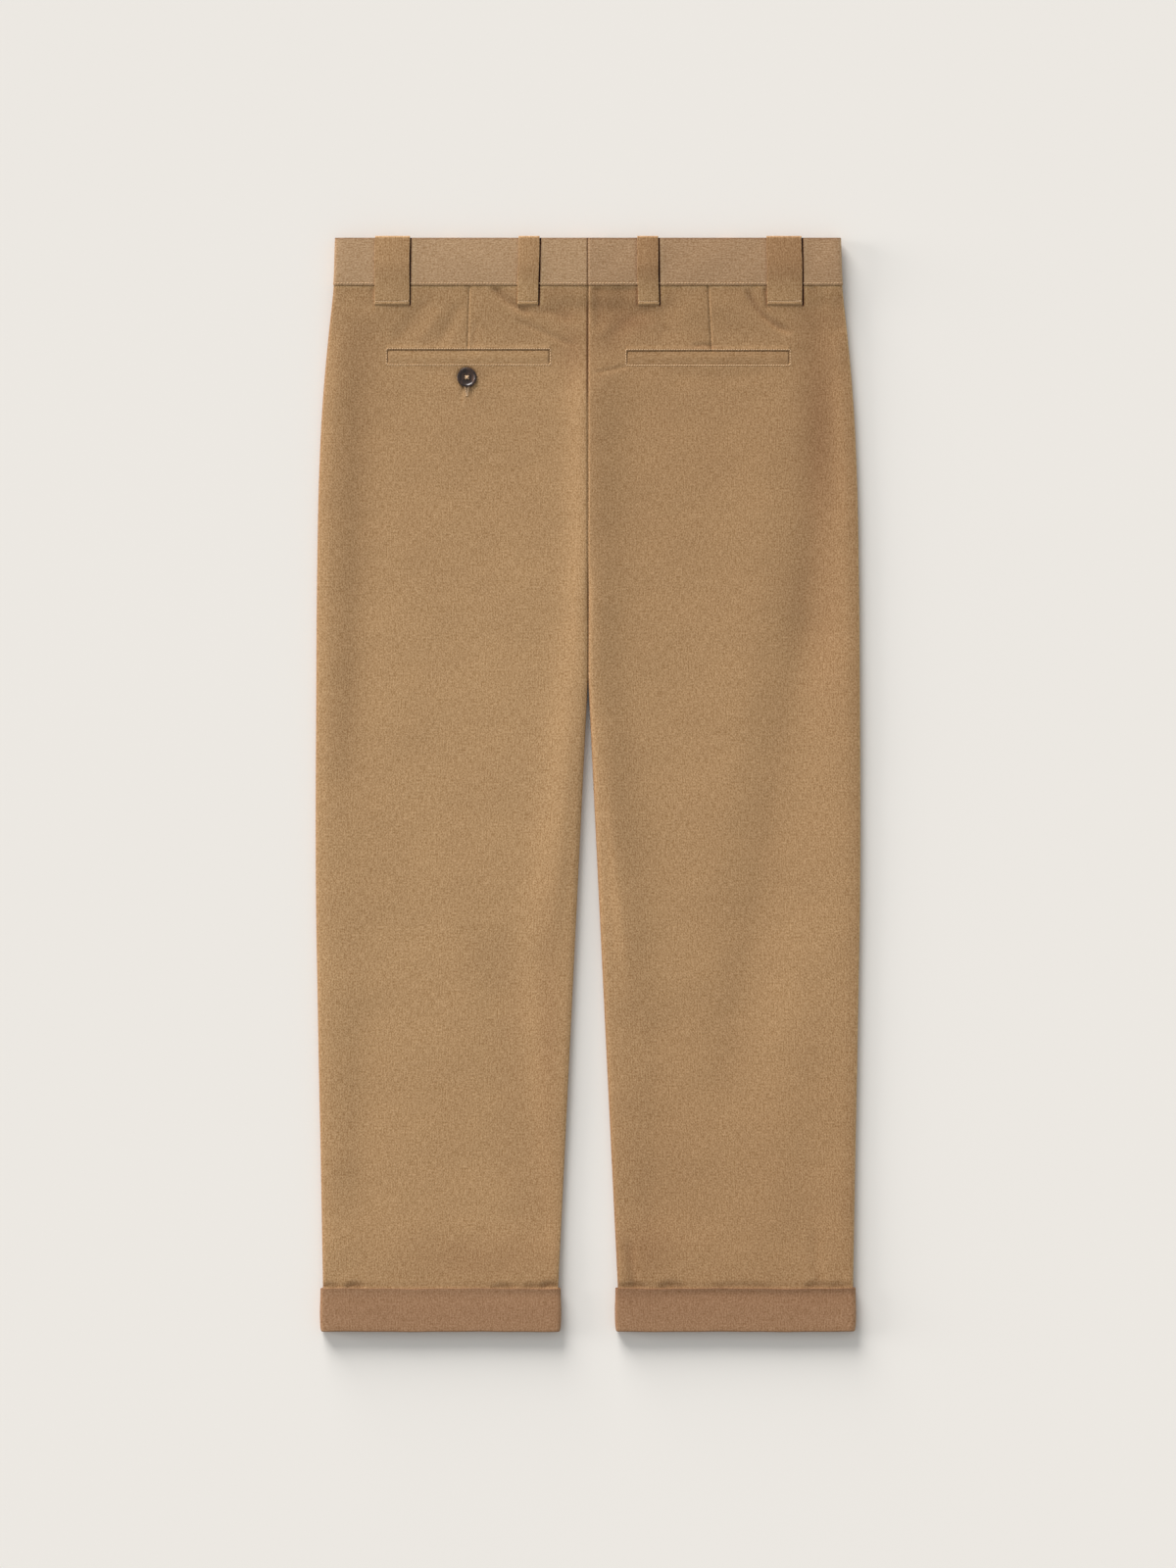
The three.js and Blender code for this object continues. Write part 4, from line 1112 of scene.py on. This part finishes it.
def loop_height(loop, down):
    """Height of a belt loop's face towards the trousers."""
    rise = LOOP_RISE[loop["up"]]
    share = np.clip((down + rise) / (LOOP_END_DOWN + rise), 0, 1)
    if loop["up"] > 0:
        across = loop["across"] + loop["lean"] + loop["width"] * np.array([-0.5, -0.25, 0, 0.25, 0.5])
        foot = back_height(across, LOOP_END_DOWN - 1.0).max() - 0.35
        draped = BAND_TOP + 0.5 + (foot - BAND_TOP - 0.5) * ease(down, 20, LOOP_END_DOWN + 2)
        return draped + loop["bow"] * np.sin(math.pi * share) ** 0.8
    top = (BAND_UNDER - 0.2) + (LOOP_WALL - BAND_UNDER + 0.2) * ease(share, 0, 0.3)
    foot = under_height(LOOP_END_DOWN) - 0.2
    return top + (foot - top) * ease(share, 0.85, 1)


class TROUSERS_OT_belt_loops(bpy.types.Operator):
    """Sew on the belt loops, turned over the waistband's edge and tacked below it"""

    bl_idname = "trousers.belt_loops"
    bl_label = "Belt loops"

    def execute(self, context):
        curl = 1.9
        for name, loop in LOOPS.items():
            up, half, rise = loop["up"], loop["width"] / 2, LOOP_RISE[loop["up"]]
            angles = np.linspace(math.pi, math.pi / 2, 8)
            body = spaced(curl - rise, LOOP_END_DOWN, 1.6, ((54.6, 1.4, 0.4), (LOOP_END_DOWN - 0.9, 0.9, 0.3)))
            down = np.concatenate([[-rise + 0.1], curl - rise + curl * np.cos(angles)[:-1], body])
            face = loop_height(loop, body) + up * LOOP_WALL
            face = face - up * 0.3 * bell(body - 54.6, 0.6)
            face = face - up * 0.6 * ease(body, LOOP_END_DOWN - 1.6, LOOP_END_DOWN)
            rolled = face[0] - up * curl * (1 - np.sin(angles)[:-1])
            z = np.concatenate([[face[0] - up * (curl + 1.2)], rolled, face])
            x = spaced(-half, half, 1.6, ((-half + 1, 1, 0.5), (half - 1, 1, 0.5)))
            share = (down + rise) / (LOOP_END_DOWN + rise)
            crown = 0.3 * (1 - (x / half) ** 2)
            sway = 0.18 * np.sin(down / 8.3 + loop["across"])
            points = np.stack([
                loop["across"] + x[None, :] + (loop["lean"] * share + sway)[:, None],
                np.broadcast_to(TOP_Y - down[:, None], (len(down), len(x))),
                z[:, None] + up * crown[None, :],
            ], axis=-1)
            points[..., 2] = np.maximum(points[..., 2], 0.0)
            cloth = np.stack(np.broadcast_arrays(loop["across"] + x[None, :], -down[:, None]), axis=-1)
            # The loop is darker towards its upper end, as painted shade against the light on its bow.
            upper, lower = loop["tones"]
            tone = (upper + (lower - upper) * ease(down, 26, 46))[:, None]
            piece = laid_grid(f"{name}_strip", points, cloth, tone, up)
            make_wall(piece, LOOP_WALL, round_edges=0.5)
            dress(piece, "cotton twill, right side", "cotton_twill", name)
        return {"FINISHED"}


class TROUSERS_OT_welts(bpy.types.Operator):
    """Set the two welts into their pocket openings"""

    bl_idname = "trousers.welts"
    bl_label = "Pocket welts"

    def execute(self, context):
        for name, welt in WELTS.items():
            side = welt["side"]
            x = spaced(welt["near"] + WELT_MARGIN, welt["far"] - WELT_MARGIN, 2.2)
            down = spaced(welt["top"] + WELT_MARGIN, welt["bottom"] + 0.2, 0.9)
            grid_x, grid_down = np.meshgrid(side * x, down)
            floor = back_height(grid_x, grid_down)
            share = (grid_down - down[0]) / (down[-1] - down[0])
            sink = 0.12 * np.sin(grid_x / 31 + side) * (1 - share)
            face = floor + WELT_RECESS * 0.92 - sink + 0.25 * np.sin(math.pi * share)
            face = face - 0.75 * ease(share, 0.86, 1.0) * WELT_RECESS
            points = np.stack([grid_x, TOP_Y - grid_down, face], axis=-1)
            cloth = np.stack([grid_down, grid_x], axis=-1)
            # The welts are darker than the backs as painted shade in their openings, the right one more.
            piece = laid_grid(f"{name}_strip", points, cloth, PANEL_TONE[side] - (0.04 if side < 0 else 0.09), 1)
            make_wall(piece, WELT_WALL, round_edges=0.35)
            dress(piece, "cotton twill, right side", "cotton_twill", name)
        return {"FINISHED"}


# Stitches.
def stitch_shape(width):
    """One stitch as a short round-ended bead, 1 long in x: its points and faces."""
    bpy.ops.object.select_all(action="DESELECT")
    bpy.ops.mesh.primitive_uv_sphere_add(segments=6, ring_count=5, radius=0.5)
    piece = bpy.context.object
    bpy.ops.object.mode_set(mode="EDIT")
    bpy.ops.mesh.select_all(action="SELECT")
    bpy.ops.transform.rotate(value=math.pi / 2, orient_axis="Y", center_override=(0, 0, 0))
    bpy.ops.object.mode_set(mode="OBJECT")
    points = np.array([v.co for v in piece.data.vertices])
    faces = [tuple(p.vertices) for p in piece.data.polygons]
    bpy.data.objects.remove(piece)
    return points, faces


def stitch_piece(name, beads, width, slot="sewing_thread"):
    """Joins a bead for each (centre, direction, length), in millimetres, into one piece."""
    shape, faces = stitch_shape(width)
    all_points, all_faces = [], []
    for centre, direction, length in beads:
        centre, direction = np.array(centre, float), np.array(direction, float)
        along = direction / np.linalg.norm(direction)
        upward = np.array([0, 0, 1.0])
        across = np.cross(upward, along)
        across /= np.linalg.norm(across)
        axes = np.stack([along * length, across * width, np.cross(along, across) * width])
        first = len(all_points) * len(shape)
        all_points.append(centre + shape @ axes)
        all_faces += [tuple(first + k for k in face) for face in faces]
    mesh = bpy.data.meshes.new(name)
    mesh.from_pydata(np.concatenate(all_points) * MM, [], all_faces)
    piece = bpy.data.objects.new(name, mesh)
    bpy.context.scene.collection.objects.link(piece)
    only(piece)
    bpy.ops.object.shade_smooth()
    dress(piece, "sewing thread, spun", slot)
    return piece


def beads_along(route, pitch, share=0.78, tilt=0.0):
    """Beads a pitch apart along a route of (x, y, z) points."""
    route = np.array(route, float)
    travelled = np.concatenate([[0], np.cumsum(np.linalg.norm(np.diff(route, axis=0), axis=1))])
    count = max(1, int(travelled[-1] / pitch))
    beads = []
    for k in range(count):
        middle = (k + 0.5) * travelled[-1] / count
        ahead, behind = middle + 0.3 * pitch, middle - 0.3 * pitch
        place, front, back = (
            np.array([np.interp(t, travelled, route[:, axis]) for axis in range(3)]) for t in (middle, ahead, behind)
        )
        direction = front - back
        direction[:2] += tilt * np.array([-direction[1], direction[0]])
        beads.append((place, direction, pitch * share))
    return beads


def on_back(points, sink=0.02):
    """Lays (x, down) points on the backs' upper face."""
    points = np.array(points, float)
    z = back_height(points[:, 0], points[:, 1]) - sink
    return np.stack([points[:, 0], TOP_Y - points[:, 1], z], axis=-1)


def on_front(points, sink=0.1):
    """Lays (x, down) points on the fronts' lower face, inside the cloth's reach."""
    points = np.array(points, float)
    z = front_height(points[:, 0], points[:, 1]) + sink
    return np.stack([points[:, 0], TOP_Y - points[:, 1], z], axis=-1)


def straight(start, end, step=2.0):
    """Points from start to end, a step apart."""
    start, end = np.array(start, float), np.array(end, float)
    count = max(2, int(np.linalg.norm(end - start) / step) + 1)
    return start + (end - start) * np.linspace(0, 1, count)[:, None]


class TROUSERS_OT_stitching(bpy.types.Operator):
    """Topstitch the waistband, pockets, loops, fly and buttonholes"""

    bl_idname = "trousers.stitching"
    bl_label = "Stitching"

    def execute(self, context):
        sizes = context.scene.trousers_sizes
        pitch, width = sizes.stitch_pitch / MM, sizes.stitch_width / MM
        for word, side in (("left", -1), ("right", 1)):
            self.waistband(word, side, pitch, width)
            self.pocket(word, WELTS[f"pocket_welt_{word}"], pitch, width)
            self.front(word, side, pitch, width)
        self.loops(width)
        self.buttonhole(width)
        return {"FINISHED"}

    def waistband(self, word, side, pitch, width):
        back = np.linspace(0.006, 1, 120)[:-1]
        angles = np.linspace(math.pi / 2, -math.pi / 2, 21)
        front = np.linspace(0, 1, 90)[::-1][1:-1]
        route = band_points(side, back, angles, front, [BAND_STITCH_DOWN])[0]
        route[:, 2] += np.where(route[:, 2] < 4, 0.12, 0.06)
        stitch_piece(f"waistband_stitching_{word}", beads_along(route, pitch), width * 0.75)

    def pocket(self, word, welt, pitch, width):
        near, far, top, bottom = (welt[k] for k in ("near", "far", "top", "bottom"))
        side = welt["side"]
        edge = 1.0
        corners = [
            (side * (near - edge), top - edge),
            (side * (far + edge), top - edge),
            (side * (far + edge), bottom + edge),
            (side * (near - edge), bottom + edge),
            (side * (near - edge), top - edge),
        ]
        beads = []
        for start, end in zip(corners, corners[1:]):
            beads += beads_along(on_back(straight(start, end, 0.8)), pitch * 0.82, tilt=0.1)
        stitch_piece(f"pocket_stitching_{word}", beads, width * 0.92)

    def front(self, word, side, pitch, width):
        """Slanting pocket mouths, and the fly's curved stitch on the left front."""
        beads = []
        (ax, ay), (bx, by) = SLANT["top"], SLANT["bottom"]
        for inset in (4.5,):
            line = straight((side * (ax - inset), ay + 1), (side * (bx - inset), by))
            beads += beads_along(on_front(line), pitch)
        if side < 0:
            turn = np.linspace(0, math.pi / 2, 14)
            bend = [(-FLY["stitch"] * math.cos(t), FLY["curve_down"] + (FLY["end_down"] - FLY["curve_down"]) * math.sin(t)) for t in turn]
            down_line = straight((-FLY["stitch"], 42), (-FLY["stitch"], FLY["curve_down"]))
            beads += beads_along(on_front(np.concatenate([down_line, bend[1:]])), pitch)
        stitch_piece(f"front_stitching_{word}", beads, width * 0.7)

    def loops(self, width):
        beads = []
        for loop in LOOPS.values():
            up, half = loop["up"], loop["width"] / 2
            rows = (54.6,) if up > 0 else (54.0,)
            for down in rows:
                height = loop_height(loop, np.array([down]))[0] + up * (LOOP_WALL - 0.12)
                left, right = loop["across"] + loop["lean"] - half + 0.9, loop["across"] + loop["lean"] + half - 0.9
                line = [(x, TOP_Y - down, height) for x in np.linspace(left, right, 12)]
                beads += beads_along(line, 1.5, share=1.1)
                if loop["width"] > 20:
                    tack = [(x, TOP_Y - down + 0.9, height + 0.05) for x in np.linspace(right - half * 0.55, right, 6)]
                    beads += beads_along(tack, 1.3, share=1.15)
        stitch_piece("belt_loop_stitching", [(np.array([c[0], c[1], max(c[2], 0.3)]), d, n) for c, d, n in beads], width * 0.9)

    def buttonhole(self, width):
        """Close satin stitches on both lips of the pocket's buttonhole."""
        beads = []
        centre = POCKET_BUTTON["across"]
        for down in np.arange(BUTTONHOLE["top"], BUTTONHOLE["bottom"], 0.6):
            taper = 1 - 0.65 * ease(down, BUTTONHOLE["bottom"] - 9, BUTTONHOLE["bottom"])
            for side in (-1, 1):
                x = centre + side * 1.45 * taper
                place = on_back([(x, down)], sink=-0.2)[0]
                beads.append((place, (1, 0.12 * side, 0), 2.9 * taper))
        for down in (BUTTONHOLE["bottom"], BUTTONHOLE["bottom"] + 0.5):
            beads.append((on_back([(centre, down)], sink=-0.15)[0], (1, 0, 0), 2.6))
        stitch_piece("pocket_buttonhole_stitching", beads, width * 0.85)


def turned_button(name, sizes, seat, up, node):
    """A four-hole button: a disc with its rim and dish set in by inset and moves, drilled by four pins."""
    radius, thickness = sizes["radius"] * MM, sizes["thickness"] * MM
    centre = Vector((sizes["across"] * MM, (TOP_Y - sizes["down"]) * MM, seat * MM))
    bpy.ops.object.select_all(action="DESELECT")
    bpy.ops.mesh.primitive_cylinder_add(vertices=56, radius=radius, depth=thickness, location=(0, 0, thickness / 2))
    piece = named(name)
    bpy.ops.object.transform_apply(location=True, rotation=True, scale=True)
    select_face(piece, 1)
    bpy.ops.mesh.inset(thickness=radius * 0.2, depth=0)
    bpy.ops.mesh.inset(thickness=radius * 0.08, depth=-thickness * 0.2)
    bpy.ops.mesh.inset(thickness=radius * 0.12, depth=-thickness * 0.16)
    bpy.ops.mesh.inset(thickness=radius * 0.3, depth=-thickness * 0.03)
    bpy.ops.object.mode_set(mode="OBJECT")
    apply_modifier(piece, "BEVEL", width=0.16 * thickness, segments=4, limit_method="ANGLE", angle_limit=math.radians(50))
    for sx in (-1, 1):
        for sy in (-1, 1):
            bpy.ops.object.select_all(action="DESELECT")
            bpy.ops.mesh.primitive_cylinder_add(
                vertices=16, radius=0.95 * MM, depth=thickness * 3, location=(sx * 1.65 * MM, sy * 1.65 * MM, 0)
            )
            pin = bpy.context.object
            only(piece)
            apply_modifier(piece, "BOOLEAN", object=pin, operation="DIFFERENCE", solver="EXACT")
            bpy.data.objects.remove(pin)
    turn = Matrix.Identity(4) if up > 0 else Matrix.Rotation(math.pi, 4, "X")
    piece.data.transform(Matrix.Translation(centre) @ turn)
    piece.location = (0, 0, 0)
    only(piece)
    bpy.ops.object.shade_smooth_by_angle(angle=math.radians(35))
    dress(piece, "horn, polished", "horn_button", node)
    return piece


def select_face(piece, up):
    """Goes into edit mode with only the widest face that looks up or down selected."""
    only(piece)
    bpy.ops.object.mode_set(mode="EDIT")
    bpy.ops.mesh.select_mode(type="FACE")
    bpy.ops.mesh.select_all(action="DESELECT")
    bpy.ops.object.mode_set(mode="OBJECT")
    caps = [face for face in piece.data.polygons if face.normal.z * up > 0.99]
    max(caps, key=lambda face: face.area).select = True
    bpy.ops.object.mode_set(mode="EDIT")


class TROUSERS_OT_buttons(bpy.types.Operator):
    """Turn the two horn buttons and sew them on"""

    bl_idname = "trousers.buttons"
    bl_label = "Buttons"

    def execute(self, context):
        width = context.scene.trousers_sizes.stitch_width / MM
        across, down = POCKET_BUTTON["across"], POCKET_BUTTON["down"]
        seat = face_of("pocket_button", 0, 2) - 1.1
        turned_button("pocket_button_horn", POCKET_BUTTON, seat, 1, "pocket_button")
        turned_button("waist_button_horn", WAIST_BUTTON, face_of("waist_button", 1, 2), -1, "waist_button")
        dish = POCKET_BUTTON["thickness"] * 0.64
        beads = []
        for sx, sy in ((1, 1), (1, -1)):
            for shift in (-0.35, 0.35):
                place = (across - sy * shift * 0.7, TOP_Y - down + sx * shift * 0.7, seat + dish + 0.25 + 0.12 * sy)
                beads.append((place, (sx, sy, 0), 4.6))
        for turn in range(5):
            beads.append(((across, TOP_Y - down, seat - 0.9 + 0.35 * turn), (math.cos(turn), math.sin(turn), 0), 3.0))
        stitch_piece("pocket_button_thread", beads, width * 1.1)
        beads = []
        level = face_of("waist_button", 0, 2) + 0.75
        for sx, sy in ((1, 1), (1, -1)):
            place = (WAIST_BUTTON["across"], TOP_Y - WAIST_BUTTON["down"], level)
            beads.append((place, (sx, sy, 0), 4.4))
        stitch_piece("waist_button_thread", beads, width)
        return {"FINISHED"}


# Large soft lights: the way towards each, its strength and its share of the softness.
LIGHTS = (
    ("light from the top", (-0.34, 0.88, 0.25), 5.6, 1.0),
    ("low light from the left", (-0.98, 0.14, 0.15), 2.2, 0.65),
)


class TROUSERS_OT_stage(bpy.types.Operator):
    """Set the paper, two low soft lights and the camera straight above"""

    bl_idname = "trousers.stage"
    bl_label = "Stage"

    def execute(self, context):
        scene, sizes = context.scene, context.scene.trousers_sizes
        bpy.ops.object.select_all(action="DESELECT")
        bpy.ops.mesh.primitive_plane_add(size=12, location=(0, 0, 0))
        floor = named("paper")
        floor.data.transform(Matrix.Translation((0, 0, -0.0001)))
        floor.data.materials.append(bpy.data.materials["background paper"])
        for name, towards, energy, spread in LIGHTS:
            bpy.ops.object.light_add(type="SUN", location=(-1, 1, 2))
            lamp = named(name)
            lamp.rotation_mode = "QUATERNION"
            lamp.rotation_quaternion = Vector(towards).to_track_quat("Z", "Y")
            lamp.data.energy = energy
            lamp.data.angle = sizes.sun_angle * spread
            lamp.data.color = hex_colour("#fffefd")
        world = bpy.data.worlds.new("soft studio light")
        world.use_nodes = True
        background = world.node_tree.nodes["Background"]
        background.inputs["Color"].default_value = (*hex_colour("#fafeff"), 1)
        background.inputs["Strength"].default_value = 0.435
        scene.world = world
        bpy.ops.object.camera_add(location=(0, 0, sizes.camera_height), rotation=(0, 0, 0))
        camera = bpy.context.object
        photo_height = 1600
        photo_scale = 0.84
        level = 7 * MM
        camera.data.lens = camera.data.sensor_width * (sizes.camera_height - level) / (photo_height * photo_scale * MM)
        camera.data.clip_end = 50
        scene.camera = camera
        scene.view_settings.view_transform = "Standard"
        return {"FINISHED"}


STEPS = (
    TROUSERS_OT_materials,
    TROUSERS_OT_stage,
    TROUSERS_OT_backs,
    TROUSERS_OT_fronts,
    TROUSERS_OT_waistband,
    TROUSERS_OT_turn_ups,
    TROUSERS_OT_belt_loops,
    TROUSERS_OT_welts,
    TROUSERS_OT_buttons,
    TROUSERS_OT_stitching,
)


class TROUSERS_PT_sidebar(bpy.types.Panel):
    """Colours, sizes and steps of the trousers"""

    bl_label = "Trousers"
    bl_space_type = "VIEW_3D"
    bl_region_type = "UI"
    bl_category = "Trousers"

    def draw(self, context):
        for group in (context.scene.trousers_colours, context.scene.trousers_sizes):
            box = self.layout.box()
            for key in group.__annotations__:
                box.prop(group, key)
        for step in STEPS:
            self.layout.operator(step.bl_idname)


CLASSES = (TrousersColours, TrousersSizes, *STEPS, TROUSERS_PT_sidebar)


def register():
    for each in CLASSES:
        bpy.utils.register_class(each)
    bpy.types.Scene.trousers_colours = PointerProperty(type=TrousersColours)
    bpy.types.Scene.trousers_sizes = PointerProperty(type=TrousersSizes)


def unregister():
    del bpy.types.Scene.trousers_colours
    del bpy.types.Scene.trousers_sizes
    for each in reversed(CLASSES):
        bpy.utils.unregister_class(each)


def main():
    register()
    for step in STEPS:
        group, name = step.bl_idname.split(".")
        getattr(getattr(bpy.ops, group), name)()


if __name__ == "__main__":
    main()
